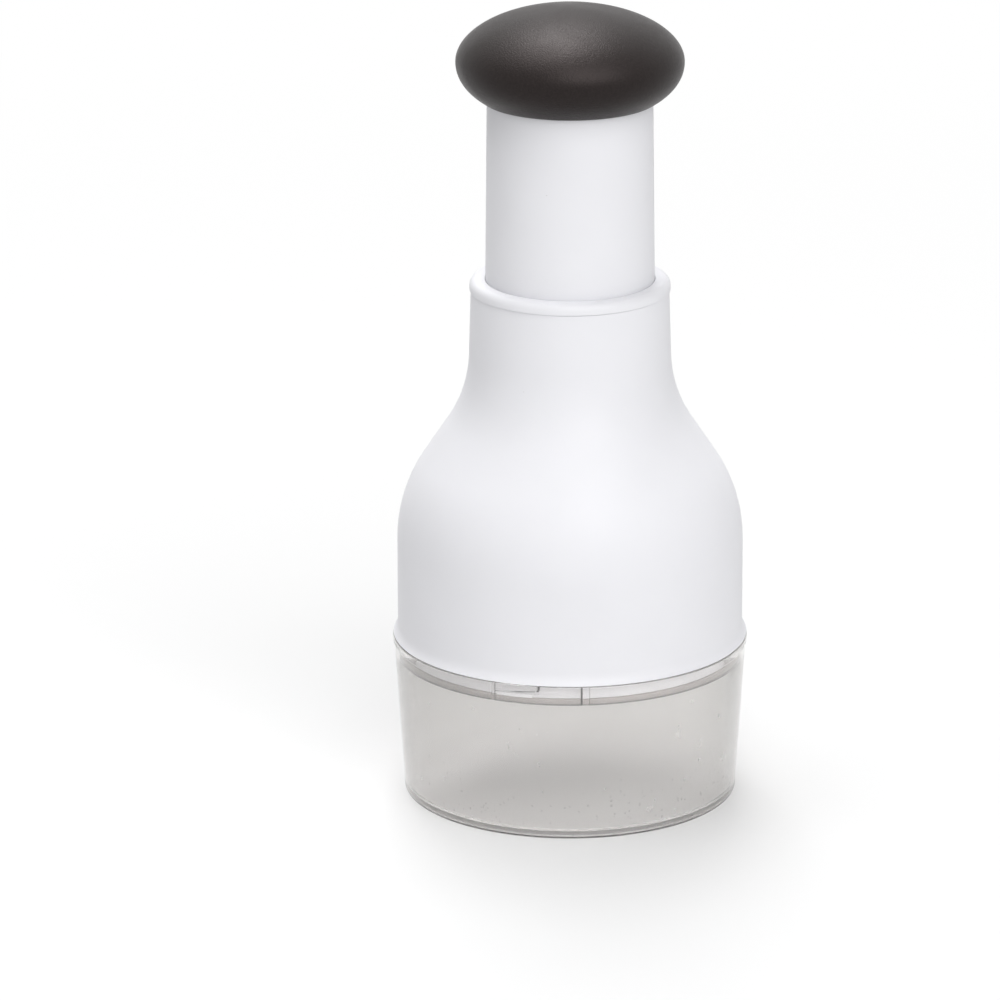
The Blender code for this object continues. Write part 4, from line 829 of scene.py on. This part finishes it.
def make_collar(sizes):
    """Skirt that carries the wiper, with the lugs that hold the cup and the hooks over the wiper."""
    low, high = levels("base_collar")
    rim_z = top("cup")
    skirt_r = band_r(sizes) - LOCK_SPACE
    bore_r = skirt_r - SKIRT_WALL
    lip_r = bore_r - SKIRT_LIP_WIDTH
    lip_z = low + SKIRT_LIP_HEIGHT
    sleeve_r = settings("housing").radius - settings("housing").wall - GAP
    outline = rounded([
        (sleeve_r, high, EDGE), (sleeve_r, rim_z, 0), (skirt_r, rim_z, 0), (skirt_r, low, EDGE),
        (lip_r, low, EDGE), (lip_r, lip_z, CRISP_EDGE), (bore_r, lip_z, 0), (bore_r, high, CRISP_EDGE)])
    collar = turned("base_skirt", outline)
    lug_r = band_r(sizes) - STOP_DEPTH - GAP
    joined = []
    lug_span = sizes.lug_span + sizes.entry_span - sizes.twist - 2 * LOCK_PLAY
    for angle in around(sizes.locks, sizes.lock_start):
        joined.append(on_ring("skirt_lug", angle + LOCK_PLAY, lug_span, skirt_r - BITE, lug_r,
                              low, rim_z - LUG_DROP - GAP))
    hook_z = top_of_plate() + GAP
    for angle in around(HOOKS, HALF_SIDE):
        joined.append(on_ring("skirt_hook", angle, HOOK_SPAN, bore_r - HOOK_DEPTH, bore_r + BITE,
                              hook_z, hook_z + HOOK_HEIGHT))
    collar = combined(collar, joined)
    settle(collar, "housing", "white_plastic", "housing_white", "base_collar")


# Blade, wiper and hub

WIPER_THICKNESS = 1.8 * MM
HUB_RIB_HEIGHT = 2.0 * MM
HUB_RIB_WALL = 1.05 * MM
HUB_THICKNESS = 2.5 * MM
HUB_ROOF = 0.6 * MM         # left over the blade's slot
HUB_BOSS_R = 8 * MM
HUB_BOSS_FILLET = 0.6 * MM
HUB_BOSS_EDGE = 0.4 * MM
HUB_FLOOR = 0.6 * MM        # under the socket
SHAFT_FOOT_R = 4.2 * MM     # corners of the shaft's six-sided foot
FOOT_SIDES = 6


def top_of_plate():
    return bottom("wiper_disc") + WIPER_THICKNESS


def blade_stations(sizes):
    """Centre line of the zigzag strip: bends on a circle, and tangents between them."""
    circle_r = reach("blade_hub") - sizes.rim - sizes.bend
    pitch = 2 * circle_r / (sizes.bends + sizes.end_share)
    stops = []
    for index in range(sizes.bends):
        x = (index - (sizes.bends - 1) / 2) * pitch
        side = 1 if index % 2 == 0 else -1
        stops.append((x, side * math.sqrt(circle_r ** 2 - x ** 2), side * sizes.bend))
    end_r = circle_r + sizes.bend - sizes.end_inset
    end_x = stops[-1][0] + pitch * sizes.end_share / 2
    end_y = -math.copysign(math.sqrt(end_r ** 2 - end_x ** 2), stops[0][1])
    stops = [(-end_x, end_y, 0)] + stops + [(end_x, end_y, 0)]
    headings = []
    for (x0, y0, turn0), (x1, y1, turn1) in zip(stops, stops[1:]):
        apart = math.hypot(x1 - x0, y1 - y0)
        headings.append(math.atan2(y1 - y0, x1 - x0) - math.asin((turn0 - turn1) / apart))
    path = [(stops[0][0], stops[0][1], headings[0])]
    for (x, y, bend), heading, leaving in zip(stops[1:-1], headings, headings[1:]):
        for step in range(BEND_STEPS + 1):
            angle = heading + (leaving - heading) * step / BEND_STEPS
            path.append((x - bend * math.sin(angle), y + bend * math.cos(angle), angle))
    path.append((stops[-1][0], stops[-1][1], headings[-1]))
    return path


def blade_band(name, sizes, half, longer, low, high):
    """A wall along the strip, wider and a little longer than it."""
    path = blade_stations(sizes)
    for index, sign in ((0, -1), (-1, 1)):
        x, y, heading = path[index]
        x += sign * longer * math.cos(heading)
        y += sign * longer * math.sin(heading)
        path[index] = (x, y, heading)
    return swept(name, path, lambda share: [(-half, low), (half, low), (half, high), (-half, high)])


def make_blade(sizes):
    half = sizes.thickness / 2
    edge = sizes.edge / 2
    low, high = levels("blade")
    grind = low + sizes.bevel
    section = [(-edge, low), (edge, low), (half, grind), (half, high), (-half, high), (-half, grind)]
    blade = swept("zigzag_blade", blade_stations(sizes), lambda share: section)
    settle(blade, "blades", "stainless_steel", "blade_steel", "blade")


def make_wiper(sizes):
    low, high = levels("wiper_disc")
    plate = top_of_plate()
    outer = reach("wiper_disc")
    slot = sizes.thickness / 2 + sizes.slot_play
    disc = turned("wiper_plate", rounded([(0, low, 0), (outer, low, EDGE), (outer, plate, EDGE),
                                          (0, plate, 0)]))
    beyond = sizes.lip + sizes.slot_play
    lips = blade_band("wiper_lips", sizes, slot + sizes.lip, beyond, plate - BITE, high)
    slit = blade_band("wiper_slit", sizes, slot, sizes.slot_play, low - OVERRUN, high + OVERRUN)
    disc = combined(disc, [lips], [slit])
    settle(disc, "wiper", "white_plastic", "tube_white", "wiper_disc")


def make_hub(sizes):
    low, high = levels("blade_hub")
    plate = low + HUB_RIB_HEIGHT
    upper = plate + HUB_THICKNESS
    outer = reach("blade_hub")
    slot = sizes.thickness / 2 + GAP
    disc = turned("hub_plate", rounded([
        (0, plate, 0), (outer, plate, FULL_EDGE), (outer, upper, FULL_EDGE),
        (HUB_BOSS_R, upper, HUB_BOSS_FILLET), (HUB_BOSS_R, high, HUB_BOSS_EDGE), (0, high, 0)]))
    rib = blade_band("hub_rib", sizes, slot + HUB_RIB_WALL, GAP + HUB_RIB_WALL, low, plate + BITE)
    slit = blade_band("hub_slit", sizes, slot, GAP, low - OVERRUN, upper - HUB_ROOF)
    socket = post("hub_socket", SHAFT_FOOT_R + GAP / math.cos(math.pi / FOOT_SIDES), plate + HUB_FLOOR,
                  high + OVERRUN, steps=FOOT_SIDES, start=math.pi / 3)
    hole = post("hub_hole", SCREW_BORE_R, low - OVERRUN, high, steps=SCREW_STEPS)
    disc = combined(disc, [], [socket, hole])
    disc = combined(disc, [rib], [slit])
    settle(disc, "blades", "white_plastic", "tube_white", "blade_hub")


# Housing and its ring

POST_R = 3.4 * MM
POST_CIRCLE = 33 * MM
POST_BORE_DEPTH = 8.5 * MM
LAND_DEPTH = 1.1 * MM       # land inside the housing that the skirt's sleeve goes up to
LAND_HEIGHT = 1.4 * MM
LAND_SLOPE_HEIGHT = 2.5 * MM    # with the slope above the land
SOCKET_WALL = 1.5 * MM      # neck around the ring's skirt
RING_OVERHANG = 0.4 * MM    # ring beyond the neck
RING_SKIRT_WALL = 0.9 * MM
RING_SKIRT_EDGE = 0.15 * MM


def bell(sizes, inset):
    """Shoulder, slope and waist of the housing from the bottom up, moved inwards."""
    arcs = sizes.shoulder_arc + sizes.waist_arc
    slope = (math.acos((arcs - sizes.radius + sizes.neck) / math.hypot(arcs, sizes.slope))
             - math.atan2(sizes.slope, arcs))
    waist_z = sizes.shoulder + arcs * math.sin(slope) + sizes.slope * math.cos(slope)
    points = []
    for step in range(ARC_STEPS + 1):
        angle = slope * step / ARC_STEPS
        points.append((sizes.radius - sizes.shoulder_arc + (sizes.shoulder_arc - inset) * math.cos(angle),
                       sizes.shoulder + (sizes.shoulder_arc - inset) * math.sin(angle)))
    for step in range(ARC_STEPS + 1):
        angle = slope * (1 - step / ARC_STEPS)
        points.append((sizes.neck + sizes.waist_arc - (sizes.waist_arc + inset) * math.cos(angle),
                       waist_z - (sizes.waist_arc + inset) * math.sin(angle)))
    return points


def make_housing(sizes):
    low, high = levels("housing_shell")
    flare_angle = 2 * math.atan(sizes.flare / sizes.flare_height)
    flare_arc = sizes.flare_height / math.sin(flare_angle)
    flare = []
    for step in range(FLARE_STEPS + 1):
        angle = flare_angle * (1 - step / FLARE_STEPS)
        flare.append((sizes.radius + flare_arc * (1 - math.cos(angle)),
                      low + sizes.flare_height - flare_arc * math.sin(angle)))
    neck_top = sizes.neck - sizes.draft
    outer = [(0, low)] + flare + bell(sizes, 0) + [(neck_top, high), (0, high)]
    housing = turned("bell_housing", outer)
    bore = sizes.radius - sizes.wall
    step_z = top("base_collar") + GAP
    socket_z = bottom("neck_collar") - GAP
    socket_r = neck_top - SOCKET_WALL
    land = bore - LAND_DEPTH
    inner = [(0, low - OVERRUN), (bore, low - OVERRUN), (bore, step_z), (land, step_z),
             (land, step_z + LAND_HEIGHT), (bore, step_z + LAND_SLOPE_HEIGHT)]
    inner += bell(sizes, sizes.wall)
    inner += [(neck_top - sizes.wall, socket_z), (socket_r, socket_z), (socket_r, high + OVERRUN),
              (0, high + OVERRUN)]
    cavity = turned("housing_cavity", inner)
    deck = bulkhead_top()
    places = screw_places(POST_CIRCLE)
    posts = [post("housing_post", POST_R, deck + GAP, bell(sizes, 0)[-1][1], x, y) for x, y in places]
    bores = [post("housing_bore", SCREW_BORE_R, deck, deck + POST_BORE_DEPTH, x, y, SCREW_STEPS)
             for x, y in places]
    cavity = combined(cavity, [], posts)
    housing = combined(housing, [], [cavity] + bores)
    settle(housing, "housing", "white_plastic", "housing_white", "housing_shell")


def bulkhead_top():
    return top("blade_hub")


def screw_places(radius):
    """Three places on a circle, the first of them at the back."""
    return [(radius * math.cos(angle), radius * math.sin(angle)) for angle in around(3, math.pi / 2)]


def make_ring(sizes):
    low, high = levels("neck_collar")
    outer = reach("neck_collar")
    seat = top("housing_shell") + sizes.ring_seam
    hole = tube_at(sizes, high) + sizes.ring_play
    skirt_r = outer - RING_OVERHANG - SOCKET_WALL - GAP
    skirt_in = skirt_r - RING_SKIRT_WALL
    ring = turned("neck_ring", rounded([
        (hole, high, sizes.ring_hole_round), (outer, high, sizes.ring_top_round),
        (outer, seat, CRISP_EDGE), (skirt_r, seat, 0), (skirt_r, low, RING_SKIRT_EDGE),
        (skirt_in, low, RING_SKIRT_EDGE), (skirt_in, seat, 0), (hole, seat, EDGE)]))
    settle(ring, "housing", "white_plastic", "housing_white", "neck_collar")


# Plunger and knob

TUBE_STEP = 1.15 * MM       # tube inside its flange
TUBE_FLANGE = 2.5 * MM      # height of the flange
TUBE_PLATE = 2.4 * MM       # thickness of the tube's closed top
GUIDE_R = 17.8 * MM
GUIDE_BORE_R = 16.3 * MM
JOURNAL_R = 3.6 * MM        # bore for the shaft's neck
KNOB_SCREW_CIRCLE = 10.2 * MM
GRIP_LIP_HEIGHT = 2.7 * MM
GRIP_EDGE = 0.35 * MM
SPRING_R = 19.9 * MM
SPRING_END_PITCH = 2.2 * MM
BLADE_FLOOR_GAP = 0.6 * MM  # blade above the cup's floor when the knob is down


def tube_at(sizes, level):
    """Outer radius of the resting tube at a height; it narrows on its way up."""
    start = bottom("plunger_sleeve") + TUBE_FLANGE
    share = (level - start) / (top("plunger_sleeve") - start)
    return reach("plunger_sleeve") - TUBE_STEP - sizes.draft * share


def make_tube(sizes):
    low, high = levels("plunger_sleeve")
    flange_r = reach("plunger_sleeve")
    tube_r = flange_r - TUBE_STEP
    top_r = tube_r - sizes.draft
    flange_z = low + TUBE_FLANGE
    under = high - TUBE_PLATE
    outline = rounded([
        (top_r, high, EDGE), (tube_r, flange_z, 0), (flange_r, flange_z, EDGE), (flange_r, low, EDGE),
        (tube_r - sizes.wall, low, EDGE), (top_r - sizes.wall, under, FULL_EDGE),
        (GUIDE_R, under, FULL_EDGE), (GUIDE_R, low, EDGE), (GUIDE_BORE_R, low, EDGE),
        (GUIDE_BORE_R, under, FULL_EDGE), (JOURNAL_R, under, CRISP_EDGE), (JOURNAL_R, high, CRISP_EDGE)])
    tube = turned("plunger_tube", outline)
    holes = [post("tube_hole", SCREW_BORE_R, under - OVERRUN, high + OVERRUN, x, y, SCREW_STEPS)
             for x, y in screw_places(KNOB_SCREW_CIRCLE)]
    tube = combined(tube, [], holes)
    settle(tube, "plunger", "white_plastic", "tube_white", "plunger_sleeve")


def knob_curve(sizes, inset, low):
    """Outline of the knob from its top down to a level, moved inwards."""
    high = top("knob_grip")
    widest = high - sizes.crown
    tube_r = tube_at(sizes, top("plunger_sleeve"))
    foot_r = tube_r + sizes.grip_play + sizes.foot
    drop = widest - bottom("knob_grip")
    cut = 1 - (foot_r / reach("knob_grip")) ** sizes.belly_power
    belly = drop / cut ** (1 / sizes.belly_power) - inset
    radius = reach("knob_grip") - inset
    crown = sizes.crown - inset
    points = []
    for step in range(KNOB_STEPS + 1):
        angle = math.pi / 2 * (1 - step / KNOB_STEPS)
        points.append((radius * math.cos(angle) ** (2 / sizes.crown_power),
                       widest + crown * math.sin(angle) ** (2 / sizes.crown_power)))
    points[0] = (0, widest + crown)
    down_to = widest - low
    for step in range(1, KNOB_STEPS + 1):
        down = down_to * math.sin(math.pi / 2 * step / KNOB_STEPS)
        points.append((radius * (1 - (down / belly) ** sizes.belly_power) ** (1 / sizes.belly_power),
                       widest - down))
    return points


def make_grip(sizes):
    low = bottom("knob_grip")
    bore = tube_at(sizes, top("plunger_sleeve")) + sizes.grip_play
    lip_z = low + GRIP_LIP_HEIGHT
    outer = knob_curve(sizes, 0, low)
    outer = outer[:-1] + rounded([outer[-2] + (0,), outer[-1] + (GRIP_EDGE,), (bore, low, GRIP_EDGE),
                                  (bore, lip_z, 0)])[1:]
    grip = turned("knob_cover", outer + knob_curve(sizes, sizes.grip, lip_z)[::-1])
    settle(grip, "plunger", "soft_grip", "soft_grip_finish", "knob_grip")


def make_spring(sizes):
    """Wire coil with a closed turn at each end."""
    low = bottom("return_spring") + sizes.wire / 2
    high = top("return_spring") - sizes.wire / 2
    open_rise = (high - low - 2 * SPRING_END_PITCH) / (sizes.turns - 2)
    curve = bpy.data.curves.new("coil", "CURVE")
    curve.dimensions = "3D"
    curve.bevel_depth = sizes.wire / 2
    curve.bevel_resolution = 4
    curve.use_fill_caps = True
    spline = curve.splines.new("POLY")
    spline.points.add(sizes.turns * COIL_STEPS)
    for index, point in enumerate(spline.points):
        turns = index / COIL_STEPS
        up = low + SPRING_END_PITCH + open_rise * (turns - 1)
        if turns <= 1:
            up = low + SPRING_END_PITCH * turns
        elif turns >= sizes.turns - 1:
            up = high - SPRING_END_PITCH * (sizes.turns - turns)
        angle = 2 * math.pi * turns
        point.co = (SPRING_R * math.cos(angle), SPRING_R * math.sin(angle), up, 1)
    coil = bpy.data.objects.new("coil", curve)
    bpy.context.scene.collection.objects.link(coil)
    spring = worked_out(coil, "spring_coil")
    bpy.data.objects.remove(coil, do_unlink=True)
    settle(spring, "plunger", "stainless_steel", "wire_steel", "return_spring")
    stroke = bottom("blade") - settings("cup").foot - settings("cup").floor - BLADE_FLOOR_GAP
    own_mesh(spring)


def dress_hidden_nodes():
    """Finishes for the works that stay as the frame has them."""
    looks = {"guide_tower": "tube_white", "spiral_nut": "acetal_finish", "spiral_shaft": "acetal_finish",
             "knob_core": "knob_core_finish", "thrust_washer": "wire_steel"}
    for node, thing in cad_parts.items():
        name = looks.get(node, "screw_zinc_finish" if "screw" in node else None)
        if name and not thing.hide_render:
            dress(thing, name)


# Studio

LAMPS = {                   # size, place and aim, in metres
    "above": ((1.8, 1.8), (-0.5, 0.15, 2.55), (0, 0, 0.1)),
    "back": ((1.0, 1.5), (-0.15, 1.3, 2.65), (0, 0, 0.2)),
    "front": ((2.8, 2.8), (0.85, -2.4, 2.25), (0, 0, 0.1)),
}
FLOOR_COLOUR = (0.79, 0.79, 0.79)
FLOOR_DROP = 0.2 * MM       # floor under the cup's foot
GLOW_START = 0.3            # where the floor starts to turn white, as a share of the backdrop's distance
NEAR_GLOW = 0.2             # how white it is before that
SENSOR = 36                 # in millimetres
CLOSEST = 0.05              # the camera's range, in metres
FARTHEST = 50


def make_lamp(name, power, size, place, aim):
    light = bpy.data.lights.new(name, "AREA")
    light.energy = power
    light.shape = "RECTANGLE"
    light.size, light.size_y = size
    lamp = bpy.data.objects.new(name, light)
    bpy.context.scene.collection.objects.link(lamp)
    lamp.location = place
    lamp.rotation_euler = (Vector(aim) - Vector(place)).to_track_quat("-Z", "Y").to_euler()


def seen_ray(nodes):
    """1 for what the camera, a mirror or clear plastic shows, and 0 for light on the object."""
    path = nodes.add("LightPath").outputs
    kinds = ("Is Camera Ray", "Is Glossy Ray", "Is Transmission Ray")
    camera, glossy, transmission = (Number(nodes, path[kind]) for kind in kinds)
    return camera.most(glossy).most(transmission)


def make_room(studio):
    """White all round to look at, but only a faint light on the object."""
    world = bpy.data.worlds.new("studio")
    bpy.context.scene.world = world
    world.use_nodes = True
    nodes = Nodes(world.node_tree)
    seen = seen_ray(nodes)
    background = world.node_tree.nodes["Background"]
    background.inputs["Color"].default_value = (1, 1, 1, 1)
    nodes.feed(background.inputs["Strength"], seen * (1 - studio.ambient) + studio.ambient)


def make_floor(studio):
    """Floor that takes shadows near the object and goes over into white further off."""
    half = studio.floor / 2
    mesh = bpy.data.meshes.new("studio_floor")
    corners = [(-half, -half, 0), (half, -half, 0), (half, half, 0), (-half, half, 0)]
    mesh.from_pydata(corners, [], [(0, 1, 2, 3)])
    floor = bpy.data.objects.new("studio_floor", mesh)
    floor.location.z = -FLOOR_DROP
    bpy.context.scene.collection.objects.link(floor)
    paint = bpy.data.materials.new("studio_floor")
    paint.use_nodes = True
    nodes = Nodes(paint.node_tree)
    shader = paint.node_tree.nodes["Principled BSDF"]
    nodes.feed(shader.inputs["Base Color"], FLOOR_COLOUR)
    shader.inputs["Roughness"].default_value = 0.6
    shader.inputs["Specular IOR Level"].default_value = 0.1
    glow = nodes.add("Emission", {"Color": (1, 1, 1), "Strength": 1.0}).outputs[0]
    place = nodes.add("TexCoord").outputs["Object"]
    away = Number(nodes, nodes.add("VectorMath", {0: place}, operation="LENGTH").outputs["Value"])
    glowing = away.between(GLOW_START * studio.backdrop, studio.backdrop) * (1 - NEAR_GLOW) + NEAR_GLOW
    both = nodes.add("MixShader", {0: seen_ray(nodes) * glowing, 1: shader.outputs[0], 2: glow})
    paint.node_tree.links.new(both.outputs[0], paint.node_tree.nodes["Material Output"].inputs["Surface"])
    mesh.materials.append(paint)


def make_camera(studio):
    camera = bpy.data.cameras.new("camera")
    camera.lens = studio.lens
    camera.sensor_width = SENSOR
    camera.shift_x, camera.shift_y = studio.shift
    camera.clip_start = CLOSEST
    camera.clip_end = FARTHEST
    thing = bpy.data.objects.new("camera", camera)
    bpy.context.scene.collection.objects.link(thing)
    thing.location = (0, -studio.distance * math.cos(studio.elevation),
                      studio.aim + studio.distance * math.sin(studio.elevation))
    thing.rotation_euler = (math.pi / 2 - studio.elevation, 0, 0)
    bpy.context.scene.camera = thing


def make_stage(studio):
    make_room(studio)
    make_floor(studio)
    for name, (size, place, aim) in LAMPS.items():
        make_lamp("lamp_" + name, getattr(studio, name), size, place, aim)
    make_camera(studio)
    bpy.context.scene.view_settings.view_transform = "Standard"


# Operators

class CHOPPER_OT_cup(Operator):
    """Build the clear cup with its lugs and stops"""
    bl_idname = "chopper.cup"
    bl_label = "Cup"

    def execute(self, context):
        make_cup(settings("cup"))
        return {"FINISHED"}


class CHOPPER_OT_seal(Operator):
    """Build the ring that seals the cup"""
    bl_idname = "chopper.seal"
    bl_label = "Seal"

    def execute(self, context):
        make_seal(settings("cup"))
        return {"FINISHED"}


class CHOPPER_OT_collar(Operator):
    """Build the skirt that the cup locks onto"""
    bl_idname = "chopper.collar"
    bl_label = "Base skirt"

    def execute(self, context):
        make_collar(settings("cup"))
        return {"FINISHED"}


class CHOPPER_OT_housing(Operator):
    """Build the bell-shaped housing and the ring in its neck"""
    bl_idname = "chopper.housing"
    bl_label = "Housing"

    def execute(self, context):
        make_housing(settings("housing"))
        make_ring(settings("plunger"))
        return {"FINISHED"}


class CHOPPER_OT_plunger(Operator):
    """Build the tube and the knob's cover"""
    bl_idname = "chopper.plunger"
    bl_label = "Plunger"

    def execute(self, context):
        make_tube(settings("plunger"))
        make_grip(settings("plunger"))
        return {"FINISHED"}


class CHOPPER_OT_spring(Operator):
    """Build the return spring"""
    bl_idname = "chopper.spring"
    bl_label = "Spring"

    def execute(self, context):
        make_spring(settings("plunger"))
        return {"FINISHED"}


class CHOPPER_OT_blade(Operator):
    """Build the zigzag blade, its hub and its wiper"""
    bl_idname = "chopper.blade"
    bl_label = "Blade"

    def execute(self, context):
        make_blade(settings("blade"))
        make_wiper(settings("blade"))
        make_hub(settings("blade"))
        return {"FINISHED"}


class CHOPPER_OT_works(Operator):
    """Finish the works inside"""
    bl_idname = "chopper.works"
    bl_label = "Works"

    def execute(self, context):
        dress_hidden_nodes()
        return {"FINISHED"}


class CHOPPER_OT_stage(Operator):
    """Set up the floor, the lamps and the camera"""
    bl_idname = "chopper.stage"
    bl_label = "Studio"

    def execute(self, context):
        make_stage(settings("studio"))
        return {"FINISHED"}


OPERATORS = (CHOPPER_OT_cup, CHOPPER_OT_seal, CHOPPER_OT_collar, CHOPPER_OT_housing, CHOPPER_OT_plunger,
             CHOPPER_OT_spring, CHOPPER_OT_blade, CHOPPER_OT_works, CHOPPER_OT_stage)


class CHOPPER_PT_panel(Panel):
    """Sizes, colours and buttons of the chopper"""
    bl_idname = "CHOPPER_PT_panel"
    bl_label = "Food chopper"
    bl_space_type = "VIEW_3D"
    bl_region_type = "UI"
    bl_category = "Chopper"

    def draw(self, context):
        for group, kind in GROUPS.items():
            box = self.layout.box()
            box.label(text=kind.__doc__)
            for name in kind.__annotations__:
                box.prop(settings(group), name)
        for operator in OPERATORS:
            self.layout.operator(operator.bl_idname)


def register():
    for group, kind in GROUPS.items():
        bpy.utils.register_class(kind)
        setattr(bpy.types.Scene, "chopper_" + group, PointerProperty(type=kind))
    for kind in OPERATORS + (CHOPPER_PT_panel,):
        bpy.utils.register_class(kind)


def unregister():
    for kind in (CHOPPER_PT_panel,) + OPERATORS[::-1]:
        bpy.utils.unregister_class(kind)
    for group, kind in GROUPS.items():
        delattr(bpy.types.Scene, "chopper_" + group)
        bpy.utils.unregister_class(kind)


def main():
    register()
    for operator in OPERATORS:
        family, name = operator.bl_idname.split(".")
        getattr(getattr(bpy.ops, family), name)()


if __name__ == "__main__":
    main()
